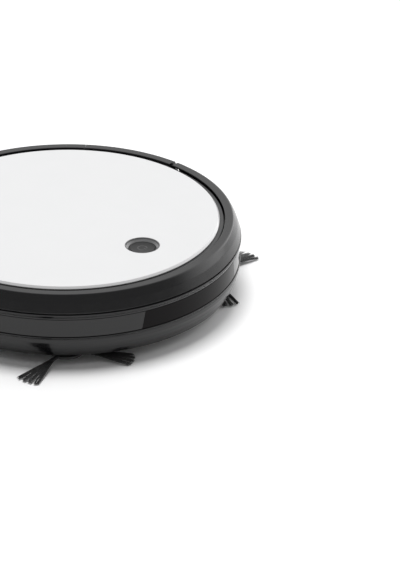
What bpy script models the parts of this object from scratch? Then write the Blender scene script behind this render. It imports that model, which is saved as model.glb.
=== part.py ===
"""Round robot vacuum cleaner, modelled as an assembly of separate parts.

Sizes in this file are in millimetres and become metres when a mesh is made. The origin is on the
floor under the middle of the body, +Z is up, and the cleaner drives towards -Y. Left and right are
the cleaner's own sides: left is +X. Angles round the body are counted from the front, towards +X.
"""

import math

import bmesh
import bpy
from mathutils import Matrix, Vector

MM = 0.001
GAP = 0.3
STEP = 7.5

# Driving dimensions of the body
UNDERSIDE = 10.0
FLOOR_TOP = 12.5
CORE_RADIUS = 147.5
CORE_WALL = 2.5
CORE_SPLIT = 40.0
DECK_RADIUS = 148.3
DECK_LOW = 72.0
DECK_TOP = 75.0
COVER_RADIUS = 144.5
COVER_TOP = 78.0
RING_TOP = 77.0
RING_INNER = 149.7
SIDE_SPLIT = 34.5
BAND_TOP = 53.3
BAND_LOW = 35.6
BAND_RADIUS = 163.2

# Where the outer ring is divided, in degrees from the front
BUMPER_END = 87.2
SIDE_START = 88.7
SIDE_END = 122.7

# Top button
BUTTON_AT = (0.0, -92.9)
BUTTON_RADIUS = 12.7
BEZEL_RADIUS = 16.2

# Drive wheels
WHEEL_X = 115.0
WHEEL_RADIUS = 33.0
TREAD_WIDTH = 22.0
RIM_RADIUS = 28.7
PIVOT_Y = -50.0
PIVOT_Z = 26.0
ARM_LOW_X = 86.0
ARM_HIGH_X = 99.7

WELL_LOW_X = WHEEL_X - 11.6
WELL_HIGH_X = WHEEL_X + 14.5
WELL_HALF = 38.5
WELL_WALL = 1.5

# Front caster
CASTER_Y = -117.0
CASTER_TRAIL = 2.0
CASTER_RADIUS = 12.0
FORK_RADIUS = 15.2

# Side brushes
SIDE_BRUSH_AT = (104.0, -87.0)
SIDE_BRUSH_REACH = 64.0
SIDE_BRUSH_FIRST = -123.0

# Main brush
BRUSH_Y = 37.0
BRUSH_Z = 26.0
BRUSH_RADIUS = 23.0
BRUSH_CORE = 9.0
BRUSH_HALF = 78.0
CHAMBER_RADIUS = 25.0
CHAMBER_HALF = 81.6
GUARD_BARS = (-52.0, -26.0, 0.0, 26.0, 52.0)
GUARD_BAR_WIDTH = 3.0

# Dust bin
BIN_LEFT = 60.0
BIN_RIGHT = -95.0
BIN_FRONT = 66.3
BIN_ARC = 145.0
BIN_LOW = 12.9
BIN_TOP = 66.0
BIN_WALL = 2.0

# Blower
BLOWER_Y = 90.0
BLOWER_Z = 42.0
BLOWER_RADIUS = 25.0
BLOWER_LOW_X = 64.5
BLOWER_HIGH_X = 90.0

# The ring's outside, from its inner top edge down to the groove of the band
RING_UPPER = [
    (RING_INNER, RING_TOP),
    (157.2, RING_TOP),
    (158.4, 76.3),
    (160.2, 72.6),
    (162.0, 68.2),
    (164.3, 60.6),
    (163.3, 60.1),
    (163.3, 59.3),
    (164.8, 58.9),
    (165.0, 57.7),
    (163.4, 54.9),
    (163.3, 53.6),
]
# The ring's outside below the band
RING_LOWER = [
    (163.9, 35.3),
    (164.0, 34.2),
    (163.0, 32.2),
    (162.8, 28.5),
    (161.4, 23.5),
    (159.2, 18.0),
    (156.4, 13.4),
]
# The inside of the ring's wall, from the bottom up
RING_INSIDE = [
    (153.2, 13.4),
    (155.4, 18.0),
    (157.6, 24.0),
    (159.1, 29.0),
    (159.5, 33.0),
    (159.5, 55.0),
    (160.6, 60.5),
    (159.2, 67.5),
    (157.0, 73.5),
    (155.2, 75.3),
]

# Base colour, roughness, metallic
LOOKS = {
    "gloss_white": ((0.87, 0.88, 0.89), 0.12, 0.0),
    "gloss_black": ((0.012, 0.012, 0.013), 0.18, 0.0),
    "satin_black": ((0.02, 0.02, 0.021), 0.4, 0.0),
    "matt_black": ((0.03, 0.03, 0.031), 0.65, 0.0),
    "window_black": ((0.012, 0.006, 0.007), 0.05, 0.0),
    "grey_plastic": ((0.16, 0.16, 0.165), 0.45, 0.0),
    "pale_grey": ((0.55, 0.56, 0.57), 0.4, 0.0),
    "smoke": ((0.08, 0.085, 0.09), 0.15, 0.0),
    "rubber": ((0.025, 0.025, 0.025), 0.85, 0.0),
    "bristle": ((0.015, 0.015, 0.015), 0.6, 0.0),
    "steel": ((0.6, 0.6, 0.62), 0.3, 1.0),
    "zinc": ((0.5, 0.5, 0.52), 0.4, 1.0),
    "gold": ((0.85, 0.62, 0.25), 0.25, 1.0),
    "board_green": ((0.02, 0.16, 0.06), 0.5, 0.0),
    "wrap_blue": ((0.03, 0.1, 0.35), 0.35, 0.0),
    "paper_white": ((0.8, 0.8, 0.76), 0.9, 0.0),
}


def clear_scene():
    for old in list(bpy.data.objects):
        bpy.data.objects.remove(old, do_unlink=True)


def new_collection(name):
    made = bpy.data.collections.new(name)
    bpy.context.scene.collection.children.link(made)
    return made


def finish_material(name, look):
    colour, roughness, metallic = LOOKS[look]
    made = bpy.data.materials.new(name + "_finish")
    made.use_nodes = True
    shader = made.node_tree.nodes["Principled BSDF"]
    shader.inputs["Base Color"].default_value = (*colour, 1.0)
    shader.inputs["Roughness"].default_value = roughness
    shader.inputs["Metallic"].default_value = metallic
    made.diffuse_color = (*colour, 1.0)
    return made


def add_object(name, mesh, look, at=(0.0, 0.0, 0.0)):
    """Link a mesh as a part, or as a hidden cutter when look is None."""
    obj = bpy.data.objects.new(name, mesh)
    obj.location = Vector(at) * MM
    if look is None:
        CUTTERS.objects.link(obj)
        obj.hide_render = True
        obj.display_type = "WIRE"
    else:
        PARTS.objects.link(obj)
        mesh.materials.append(finish_material(name, look))
    return obj


def solid(name, bm, look, at=(0.0, 0.0, 0.0)):
    """Turn a bmesh drawn in body millimetres into an object whose origin is at a point."""
    bmesh.ops.transform(bm, matrix=Matrix.Scale(MM, 4) @ Matrix.Translation(-Vector(at)), verts=bm.verts)
    bmesh.ops.recalc_face_normals(bm, faces=bm.faces)
    mesh = bpy.data.meshes.new(name)
    bm.to_mesh(mesh)
    bm.free()
    mesh.shade_smooth()
    mesh.set_sharp_from_angle(angle=math.radians(35))
    return add_object(name, mesh, look, at)


def add_box(bm, low, high, turn=0.0):
    """A box between two corners, turned about the vertical through the origin by some degrees."""
    low, high = Vector(low), Vector(high)
    scale = Matrix.Diagonal((*(high - low), 1.0))
    spin = Matrix.Rotation(math.radians(turn), 4, "Z")
    bmesh.ops.create_cube(bm, size=1.0, matrix=spin @ Matrix.Translation((low + high) / 2) @ scale)


def add_rod(bm, start, end, radius, end_radius=None, sides=24):
    start, end = Vector(start), Vector(end)
    along = end - start
    turn = along.to_track_quat("Z", "Y").to_matrix().to_4x4()
    bmesh.ops.create_cone(
        bm,
        cap_ends=True,
        segments=sides,
        radius1=radius,
        radius2=radius if end_radius is None else end_radius,
        depth=along.length,
        matrix=Matrix.Translation((start + end) / 2) @ turn,
    )


def boxes(name, corners, look, at=(0.0, 0.0, 0.0)):
    bm = bmesh.new()
    for low, high in corners:
        add_box(bm, low, high)
    return solid(name, bm, look, at)


def rods(name, ends, look, at=(0.0, 0.0, 0.0), sides=24):
    bm = bmesh.new()
    for start, end, radius in ends:
        add_rod(bm, start, end, radius, sides=sides)
    return solid(name, bm, look, at)


def turned(name, profile, look, at=(0.0, 0.0, 0.0), axis="Z", steps=48, closed=False):
    """A Screw of (radius, height) points about an axis through a point. closed joins their ends."""
    mesh = bpy.data.meshes.new(name)
    count = len(profile)
    edges = [(i, i + 1) for i in range(count - 1)]
    if closed:
        edges.append((count - 1, 0))
    mesh.from_pydata([(r * MM, 0.0, z * MM) for r, z in profile], edges, [])
    obj = add_object(name, mesh, look, at)
    if axis == "X":
        obj.rotation_euler = (0.0, math.pi / 2, 0.0)
    elif axis == "Y":
        obj.rotation_euler = (-math.pi / 2, 0.0, 0.0)
    screw = obj.modifiers.new("Turn", "SCREW")
    screw.axis = "Z"
    screw.steps = steps
    screw.render_steps = steps
    screw.use_merge_vertices = True
    screw.merge_threshold = 0.00001
    screw.use_smooth_shade = True
    return obj


def add_sector(bm, profile, start, end):
    """A closed (radius, height) outline swept round the body between two angles from the front."""
    turn = Matrix.Rotation(math.radians(start - 90.0), 4, "Z")
    verts = [bm.verts.new(turn @ Vector((r, 0.0, z))) for r, z in profile]
    edges = [bm.edges.new((verts[i - 1], verts[i])) for i in range(len(verts))]
    made = set(bm.edges)
    steps = max(1, round((end - start) / STEP))
    bmesh.ops.spin(
        bm,
        geom=verts + edges,
        cent=(0.0, 0.0, 0.0),
        axis=(0.0, 0.0, 1.0),
        angle=math.radians(end - start),
        steps=steps,
    )
    rims = [e for e in bm.edges if (e in edges or e not in made) and e.is_boundary]
    bmesh.ops.holes_fill(bm, edges=rims, sides=0)


def sectors(name, profile, spans, look):
    bm = bmesh.new()
    for start, end in spans:
        add_sector(bm, profile, start, end)
    return solid(name, bm, look)


def rectangle(inner, outer, low, high):
    return [(inner, low), (inner, high), (outer, high), (outer, low)]


def arc(centre, radius, start, end, steps):
    """Points on a circle between two angles in degrees."""
    points = []
    for i in range(steps + 1):
        angle = math.radians(start + (end - start) * i / steps)
        points.append((centre[0] + radius * math.cos(angle), centre[1] + radius * math.sin(angle)))
    return points


# Which way an outline's first, second and thickness directions point, for each thickness axis
OUTLINE_FRAMES = {
    "Z": Matrix.Identity(4),
    "X": Matrix(((0, 0, 1, 0), (1, 0, 0, 0), (0, 1, 0, 0), (0, 0, 0, 1))),
    "Y": Matrix(((1, 0, 0, 0), (0, 0, -1, 0), (0, 1, 0, 0), (0, 0, 0, 1))),
}


def outline(name, points, low, high, look, axis="Z", at=(0.0, 0.0, 0.0)):
    """A flat outline with thickness from low to high along an axis, drawn as a filled curve.

    Points are (x, y) for axis Z, (y, z) for axis X and (x, z) for axis Y.
    """
    curve = bpy.data.curves.new(name, "CURVE")
    curve.dimensions = "2D"
    curve.fill_mode = "BOTH"
    curve.extrude = (high - low) / 2
    spline = curve.splines.new("POLY")
    spline.points.add(len(points) - 1)
    for point, (u, v) in zip(spline.points, points):
        point.co = (u, v, 0.0, 1.0)
    spline.use_cyclic_u = True
    drawn = bpy.data.objects.new(name + "_outline", curve)
    CUTTERS.objects.link(drawn)
    graph = bpy.context.evaluated_depsgraph_get()
    mesh = bpy.data.meshes.new_from_object(drawn.evaluated_get(graph))
    bpy.data.objects.remove(drawn)
    bpy.data.curves.remove(curve)
    bm = bmesh.new()
    bm.from_mesh(mesh)
    bpy.data.meshes.remove(mesh)
    bmesh.ops.remove_doubles(bm, verts=bm.verts, dist=0.001)
    middle = (low + high) / 2 * (-1 if axis == "Y" else 1)
    place = OUTLINE_FRAMES[axis] @ Matrix.Translation((0.0, 0.0, middle))
    bmesh.ops.transform(bm, matrix=place, verts=bm.verts)
    return solid(name, bm, look, at)


def combine(target, tool, operation="DIFFERENCE"):
    boolean = target.modifiers.new(tool.name, "BOOLEAN")
    boolean.operation = operation
    boolean.solver = "EXACT"
    boolean.object = tool
    return target


def mirrored(source, name):
    """A copy of a left-hand part for the right-hand side, as its own mesh."""
    bpy.context.view_layer.update()
    graph = bpy.context.evaluated_depsgraph_get()
    done = source.evaluated_get(graph)
    mesh = bpy.data.meshes.new_from_object(done)
    at = Vector((-source.location.x, source.location.y, source.location.z))
    flip = Matrix.Diagonal((-1.0, 1.0, 1.0, 1.0))
    mesh.transform(Matrix.Translation(-at) @ flip @ done.matrix_world)
    mesh.flip_normals()
    mesh.name = name
    copy = bpy.data.objects.new(name, mesh)
    copy.location = at
    PARTS.objects.link(copy)
    finish = source.data.materials[0].copy()
    finish.name = name + "_finish"
    mesh.materials.clear()
    mesh.materials.append(finish)
    return copy


def polar(angle, radius):
    """X and Y at an angle from the front and a distance from the middle."""
    turn = math.radians(angle)
    return radius * math.sin(turn), -radius * math.cos(turn)


def wheel_slot(side):
    """Corners of the slot under one drive wheel and its arm; side is 1 for left, -1 for right."""
    xs = sorted((side * (ARM_LOW_X - 0.7), side * (WHEEL_X + 13.0)))
    return (xs[0], -37.0, 0.0), (xs[1], 37.0, 20.0)


SENSOR_ANGLES = {"right_side": -62.0, "right_front": -20.0, "left_front": 20.0, "left_side": 62.0}
SENSOR_RADIUS = 135.0
SWITCH_AT = (-66.0, -60.0)


def chassis():
    floor_rim = CORE_RADIUS - 4.0
    tray = turned(
        "base_chassis",
        [
            (0, FLOOR_TOP),
            (CORE_RADIUS - CORE_WALL, FLOOR_TOP),
            (CORE_RADIUS - CORE_WALL, CORE_SPLIT),
            (CORE_RADIUS, CORE_SPLIT),
            (CORE_RADIUS, UNDERSIDE + 4.0),
            (floor_rim, UNDERSIDE),
            (0, UNDERSIDE),
        ],
        "satin_black",
        steps=48,
    )
    side_wall = (
        [(163.9, SIDE_SPLIT)]
        + RING_LOWER[1:]
        + [(152.5, UNDERSIDE + 0.8), (floor_rim - 1.5, UNDERSIDE + 0.9), (floor_rim - 1.5, FLOOR_TOP - 0.3)]
        + [(151.0, FLOOR_TOP), (154.4, 16.4), (157.4, 22.0), (159.6, 27.5), (160.6, 33.0)]
        + [(160.6, SIDE_SPLIT)]
    )
    side_spans = [(SIDE_START, SIDE_END), (360 - SIDE_END, 360 - SIDE_START)]
    combine(tray, sectors("chassis_side_walls", side_wall, side_spans, None), "UNION")

    ears = []
    posts = []
    hollows = []
    for side in (-1, 1):
        for low, high in ((82.6, 85.0), (100.7, 103.1)):
            xs = sorted((side * low, side * high))
            ears.append(((xs[0], PIVOT_Y - 7, 11.0), (xs[1], PIVOT_Y + 7, PIVOT_Z + 7)))
        xs = sorted((side * 90.0, side * 96.0))
        ears.append(((xs[0], -66.0, 11.0), (xs[1], -62.0, 53.0)))
        xs = sorted((side * WELL_LOW_X, side * WELL_HIGH_X))
        ears.append(((xs[0], -WELL_HALF, 11.0), (xs[1], WELL_HALF, 71.0)))
        xs = sorted((side * (WELL_LOW_X - 5.0), side * (WELL_HIGH_X - WELL_WALL)))
        hollow = WELL_HALF - WELL_WALL
        hollows.append(((xs[0], -hollow, 5.0), (xs[1], hollow, 71.0 - WELL_WALL)))
        for y in (-93.0, -39.0):
            posts.append(((side * 56.0, y, 11.0), (side * 56.0, y, 43.7), 3.0))
    combine(tray, boxes("suspension_ears", ears, None), "UNION")
    combine(tray, rods("board_posts", posts, None, sides=12), "UNION")

    holes = [wheel_slot(1), wheel_slot(-1)]
    holes.append(((-82.5, 11.0, 0.0), (82.5, 63.0, 20.0)))
    holes.append(((-45.3, -93.3, 0.0), (45.3, -29.7, 20.0)))
    holes.append(((-124.6, 78.3, FLOOR_TOP + 0.1), (124.6, 170.0, 60.0)))
    x, y = SWITCH_AT
    holes.append(((x - 8.8, y - 5.2, 0.0), (x + 8.8, y + 5.2, 20.0)))
    combine(tray, boxes("chassis_openings", holes, None))
    combine(tray, boxes("wheel_well_insides", hollows, None))

    windows = bmesh.new()
    for angle in SENSOR_ANGLES.values():
        add_box(windows, (-8, -SENSOR_RADIUS - 4, 0), (8, -SENSOR_RADIUS + 4, 20), angle)
    combine(tray, solid("sensor_openings", windows, None))

    bores = [((0, CASTER_Y, 0), (0, CASTER_Y, 20), 18.0)]
    pins = []
    for side in (-1, 1):
        x, y = side * SIDE_BRUSH_AT[0], SIDE_BRUSH_AT[1]
        bores.append(((x, y, 0), (x, y, 20), 4.2))
        xs = sorted((side * 80.0, side * 105.0))
        pins.append(((xs[0], PIVOT_Y, PIVOT_Z), (xs[1], PIVOT_Y, PIVOT_Z), 3.3))
    combine(tray, rods("chassis_bores", bores, None))
    combine(tray, rods("pivot_bores", pins, None, sides=16))


def upper_housing():
    housing = turned(
        "upper_housing",
        [
            (0, DECK_TOP),
            (DECK_RADIUS, DECK_TOP),
            (DECK_RADIUS, DECK_TOP - 2.0),
            (CORE_RADIUS, DECK_LOW),
            (CORE_RADIUS, CORE_SPLIT + GAP),
            (CORE_RADIUS - CORE_WALL, CORE_SPLIT + GAP),
            (CORE_RADIUS - CORE_WALL, DECK_LOW),
            (0, DECK_LOW),
        ],
        "gloss_black",
        steps=48,
    )
    side_wall = (
        [(146.0, DECK_TOP - 0.1), (RING_INNER, DECK_TOP - 0.1)]
        + RING_UPPER
        + [(BAND_RADIUS, BAND_TOP), (BAND_RADIUS, BAND_LOW), (163.9, 35.3), (163.9, SIDE_SPLIT + GAP)]
        + [(160.6, SIDE_SPLIT + GAP), (160.6, 60.5), (159.2, 67.5), (157.4, 72.2), (146.0, 72.2)]
    )
    side_spans = [(SIDE_START, SIDE_END), (360 - SIDE_END, 360 - SIDE_START)]
    combine(housing, sectors("housing_side_walls", side_wall, side_spans, None), "UNION")
    bin_way = ((-124.6, 78.3, 30.0), (124.6, 170.0, DECK_LOW - 0.1))
    combine(housing, boxes("housing_bin_way", [bin_way], None))
    button_hole = ((*BUTTON_AT, 60.0), (*BUTTON_AT, 90.0), BEZEL_RADIUS + 0.8)
    combine(housing, rods("deck_button_hole", [button_hole], None, sides=36))
    combine(housing, sectors("exhaust_opening", rectangle(140, 170, 38, 51), [(98, 116)], None))

    grille = sectors("exhaust_grille", rectangle(161.0, 163.0, 38.3, 50.7), [(98.2, 115.8)], "satin_black")
    slots = []
    for i in range(9):
        middle = 99.8 + i * 1.8
        slots.append((middle - 0.45, middle + 0.45))
    combine(grille, sectors("grille_slots", rectangle(155, 168, 40.0, 49.0), slots, None))


def top_cover():
    cover = turned(
        "top_cover",
        [
            (0, COVER_TOP),
            (COVER_RADIUS - 1.6, COVER_TOP),
            (COVER_RADIUS - 0.4, COVER_TOP - 0.8),
            (COVER_RADIUS, COVER_TOP - 2.0),
            (COVER_RADIUS, DECK_TOP + GAP + 0.3),
            (COVER_RADIUS - 0.3, DECK_TOP + GAP),
            (0, DECK_TOP + GAP),
        ],
        "gloss_white",
        steps=60,
    )
    hole = ((*BUTTON_AT, 60.0), (*BUTTON_AT, 90.0), BEZEL_RADIUS + GAP)
    combine(cover, rods("cover_button_hole", [hole], None, sides=36))
    turned(
        "button_bezel",
        [
            (BEZEL_RADIUS, 77.9),
            (BEZEL_RADIUS, 72.5),
            (BUTTON_RADIUS + 0.4, 72.5),
            (BUTTON_RADIUS + 0.4, 75.2),
            (BEZEL_RADIUS - 0.5, 77.9),
        ],
        "pale_grey",
        at=(*BUTTON_AT, 0.0),
        closed=True,
        steps=28,
    )
    turned(
        "power_button",
        [
            (0, 75.5),
            (BUTTON_RADIUS - 0.5, 75.5),
            (BUTTON_RADIUS, 75.0),
            (BUTTON_RADIUS, 72.0),
            (4.0, 70.5),
            (3.0, 62.0),
            (0, 62.0),
        ],
        "grey_plastic",
        at=(*BUTTON_AT, 0.0),
        steps=28,
    )


def bumper():
    profile = RING_UPPER + [(161.4, 53.6), (161.4, 35.3)] + RING_LOWER + RING_INSIDE + [(RING_INNER, 75.3)]
    shell = sectors("bumper_shell", profile, [(-BUMPER_END, BUMPER_END)], "gloss_black")
    combine(shell, sectors("window_opening", rectangle(150, 170, 38, 51), [(-20, 20)], None))

    top_half, low_half = 64.3, 67.7
    slope = (low_half - top_half) / (BAND_TOP - BAND_LOW)
    high, low = BAND_TOP + 3.0, BAND_LOW - 3.0

    def end_prism(name, grow):
        above = top_half - slope * 3.0 + grow
        below = low_half + slope * 3.0 + grow
        points = [(-above, high), (-below, low), (below, low), (above, high)]
        return outline(name, points, -180.0, -120.0, None, axis="Y")

    strip = rectangle(162.1, BAND_RADIUS, BAND_LOW, BAND_TOP)
    bumper_end = BUMPER_END - 0.1
    halves = {"right_bumper_band": (-bumper_end, 0.0), "left_bumper_band": (0.0, bumper_end)}
    for name, span in halves.items():
        band = sectors(name, strip, [span], "gloss_black")
        combine(band, end_prism(name + "_end", 0.15))
    window = sectors("sensor_window", strip, [(-30, 30)], "window_black")
    combine(window, end_prism("window_ends", -0.15), "INTERSECT")

    board = sectors("sensor_board", rectangle(156.5, 157.7, 37.0, 52.0), [(-18, 18)], "board_green")
    emitters = []
    for angle in (-16, -8, 0, 8, 16):
        start, end = polar(angle, 157.2), polar(angle, 161.0)
        emitters.append(((*start, 44.5), (*end, 44.5), 2.4))
    combine(board, rods("infrared_emitters", emitters, None, sides=10), "UNION")

    switch = rectangle(147.9, 152.6, 34.0, 46.0)[:3] + [(152.6, 43.0), (153.8, 43.0), (153.8, 37.0)]
    switch += [(152.6, 37.0), (152.6, 34.0)]
    for name, middle in (("right_bumper_switch", -28), ("left_bumper_switch", 28)):
        sectors(name, switch, [(middle - 4, middle + 4)], "matt_black")


def arm_outline():
    """The outside of a wheel arm: a large end round the axle and a small one round the pivot."""
    big, small = 12.0, 7.0
    run, rise = PIVOT_Y, PIVOT_Z - WHEEL_RADIUS
    length = math.hypot(run, rise)
    heading = math.degrees(math.atan2(rise, run))
    lean = math.degrees(math.acos((big - small) / length))
    around_axle = arc((0.0, WHEEL_RADIUS), big, heading + lean, heading + 360 - lean, 12)
    around_pivot = arc((PIVOT_Y, PIVOT_Z), small, heading - lean, heading + lean, 6)
    return around_axle + around_pivot


def coil(name, start, end, radius, wire, turns, look):
    """A helical spring between two points that lie along Y."""
    points_a_turn = 6
    start, end = Vector(start), Vector(end)
    count = turns * points_a_turn
    curve = bpy.data.curves.new(name, "CURVE")
    curve.dimensions = "3D"
    curve.bevel_depth = wire * MM
    curve.bevel_resolution = 1
    curve.use_fill_caps = True
    spline = curve.splines.new("POLY")
    spline.points.add(count)
    for i, point in enumerate(spline.points):
        angle = 2 * math.pi * i / points_a_turn
        along = start.lerp(end, i / count)
        offset = Vector((math.cos(angle), 0.0, math.sin(angle))) * radius
        point.co = (*((along + offset) * MM), 1.0)
    obj = bpy.data.objects.new(name, curve)
    PARTS.objects.link(obj)
    curve.materials.append(finish_material(name, look))
    return obj


def drive_wheels():
    axle = (WHEEL_X, 0.0, WHEEL_RADIUS)
    pivot = (93.0, PIVOT_Y, PIVOT_Z)
    arm = outline("left_suspension_arm", arm_outline(), ARM_LOW_X, ARM_HIGH_X, "grey_plastic", "X", pivot)
    pin = ((83.0, PIVOT_Y, PIVOT_Z), (102.8, PIVOT_Y, PIVOT_Z), 3.0)
    combine(arm, rods("arm_pin", [pin], None, sides=16), "UNION")
    combine(arm, boxes("arm_lug", [((90.0, -20.0, 33.0), (96.0, -16.0, 53.0))], None), "UNION")
    bore = ((80.0, 0.0, WHEEL_RADIUS), (105.0, 0.0, WHEEL_RADIUS), 3.3)
    combine(arm, rods("arm_bore", [bore], None, sides=20))

    motor = bmesh.new()
    add_rod(motor, (52.0, -21.0, 37.0), (85.7, -21.0, 37.0), 12.0, sides=24)
    solid("left_wheel_motor", motor, "steel", pivot)

    half_rim, shaft = 10.5, 2.9
    turned(
        "left_wheel_hub",
        [
            (0, 6.0),
            (9.0, 6.0),
            (11.0, 9.0),
            (25.5, 8.0),
            (27.0, half_rim),
            (RIM_RADIUS, half_rim),
            (RIM_RADIUS, -half_rim),
            (26.0, -half_rim),
            (25.0, -4.0),
            (6.0, -4.0),
            (6.0, -14.0),
            (shaft, -14.0),
            (shaft, -30.0),
            (0, -30.0),
        ],
        "grey_plastic",
        at=axle,
        axis="X",
        steps=24,
    )
    half = TREAD_WIDTH / 2
    turned(
        "left_tyre",
        [
            (WHEEL_RADIUS, half - 2.0),
            (WHEEL_RADIUS, -half + 2.0),
            (WHEEL_RADIUS - 1.5, -half),
            (RIM_RADIUS + GAP, -half),
            (RIM_RADIUS + GAP, half),
            (WHEEL_RADIUS - 1.5, half),
        ],
        "rubber",
        at=axle,
        axis="X",
        closed=True,
        steps=36,
    )
    coil("left_suspension_spring", (93.0, -60.8, 48.0), (93.0, -21.2, 48.0), 3.4, 0.55, 6, "steel")

    for part in ("suspension_arm", "wheel_motor", "wheel_hub", "tyre", "suspension_spring"):
        mirrored(bpy.data.objects["left_" + part], "right_" + part)


def caster():
    at = (0.0, CASTER_Y, 0.0)
    turned(
        "caster_socket",
        [(0.0, 34.0), (17.7, 34.0), (17.7, UNDERSIDE), (15.7, UNDERSIDE), (15.7, 32.0), (0.0, 32.0)],
        "matt_black",
        at=at,
        steps=24,
    )
    fork = turned(
        "caster_fork",
        [(0, 31.5), (3.0, 31.5), (3.0, 29.0), (FORK_RADIUS, 29.0), (FORK_RADIUS, 9.6), (12.5, 8.4), (0, 8.4)],
        "grey_plastic",
        at=at,
        steps=24,
    )
    wheel_y = CASTER_Y + CASTER_TRAIL
    slot = outline(
        "fork_slot",
        [(wheel_y - 12.8, 0.0)] + arc((wheel_y, CASTER_RADIUS), 12.8, 180, 0, 12) + [(wheel_y + 12.8, 0.0)],
        -7.0,
        7.0,
        None,
        "X",
    )
    combine(fork, slot)
    bore = ((-20.0, wheel_y, CASTER_RADIUS), (20.0, wheel_y, CASTER_RADIUS), 1.8)
    combine(fork, rods("fork_bore", [bore], None, sides=12))
    turned(
        "caster_wheel",
        [
            (CASTER_RADIUS, 4.8),
            (CASTER_RADIUS, -4.8),
            (CASTER_RADIUS - 1.2, -6.2),
            (1.8, -6.2),
            (1.8, 6.2),
            (CASTER_RADIUS - 1.2, 6.2),
        ],
        "pale_grey",
        at=(0.0, wheel_y, CASTER_RADIUS),
        axis="X",
        closed=True,
        steps=24,
    )
    axle = ((-12.0, wheel_y, CASTER_RADIUS), (12.0, wheel_y, CASTER_RADIUS), 1.5)
    rods("caster_axle", [axle], "steel", at=(0.0, wheel_y, CASTER_RADIUS), sides=12)


def add_tuft(bm, angle):
    """One flat bundle of bristles, narrow and high at its clamp, wide and near the floor at its tip."""
    root, root_z, tip_z = 22.4, 7.0, 1.9
    root_width, tip_width, thickness = 5.0, 26.0, 1.6
    made = bmesh.ops.create_cube(bm, size=1.0)["verts"]
    turn = math.radians(angle)
    along = Vector((math.cos(turn), math.sin(turn), 0.0))
    across = Vector((-along.y, along.x, 0.0))
    middle = Vector((*SIDE_BRUSH_AT, 0.0))
    for vert in made:
        at_tip = vert.co.x > 0
        reach = SIDE_BRUSH_REACH if at_tip else root
        width = tip_width if at_tip else root_width
        height = (tip_z if at_tip else root_z) + vert.co.z * thickness
        vert.co = middle + along * reach + across * (vert.co.y * width) + Vector((0.0, 0.0, height))


def side_brush_motor(at):
    """A gearbox with its output shaft at its outer end, and the motor standing at its inner end."""
    output = math.hypot(*SIDE_BRUSH_AT)
    heading = math.degrees(math.atan2(SIDE_BRUSH_AT[0], -SIDE_BRUSH_AT[1]))
    motor_at = output - 15.0
    gearbox = turned(
        "left_side_brush_motor",
        [(0, 24.0), (5.3, 24.0), (5.3, 12.9), (2.2, 12.9), (2.2, 7.4), (0, 7.4)],
        "matt_black",
        at=at,
        steps=16,
    )
    bm = bmesh.new()
    add_box(bm, (-5.0, -output, 12.9), (5.0, -motor_at, 24.0), heading)
    combine(gearbox, solid("gearbox_case", bm, None), "UNION")
    x, y = polar(heading, motor_at)
    combine(gearbox, rods("brush_motor_can", [((x, y, 12.9), (x, y, 47.0), 9.8)], None, sides=20), "UNION")


def side_brushes():
    at = (*SIDE_BRUSH_AT, 0.0)
    side_brush_motor(at)
    turned(
        "left_side_brush_hub",
        [(9.0, 9.5), (13.0, 8.6), (13.0, 6.0), (9.0, 5.2), (2.5, 5.2), (2.5, 9.5)],
        "matt_black",
        at=at,
        closed=True,
        steps=20,
    )
    clamp = turned(
        "left_side_brush_bristles",
        [(15.6, 8.3), (15.6, 6.0), (13.3, 6.0), (13.3, 8.3)],
        "bristle",
        at=at,
        closed=True,
        steps=20,
    )
    arms = bmesh.new()
    tufts = bmesh.new()
    for i in range(3):
        angle = SIDE_BRUSH_FIRST + 120 * i
        turn = math.radians(angle)
        start = Vector((*SIDE_BRUSH_AT, 7.1)) + Vector((math.cos(turn), math.sin(turn), 0.0)) * 14.3
        end = start + Vector((math.cos(turn), math.sin(turn), 0.0)) * 12.0
        add_rod(arms, start, end, 2.4, 1.9, sides=10)
        add_tuft(tufts, angle)
    combine(clamp, solid("clamp_arms", arms, None), "UNION")
    combine(clamp, solid("bristle_tufts", tufts, None), "UNION")
    turned(
        "left_side_brush_screw",
        [(0, 7.1), (1.5, 7.1), (1.5, 4.8), (4.4, 4.8), (4.4, 4.2), (3.2, 3.5), (0, 3.5)],
        "zinc",
        at=at,
        steps=14,
    )
    for part in ("motor", "hub", "bristles", "screw"):
        mirrored(bpy.data.objects["left_side_brush_" + part], "right_side_brush_" + part)


def brush_spans():
    """Where the rows of the main brush run, between the bars of the guard."""
    edge = GUARD_BAR_WIDTH / 2 + 1.5
    starts = [-BRUSH_HALF + 1.0] + [bar + edge for bar in GUARD_BARS]
    ends = [bar - edge for bar in GUARD_BARS] + [BRUSH_HALF - 1.0]
    return list(zip(starts, ends))


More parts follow.
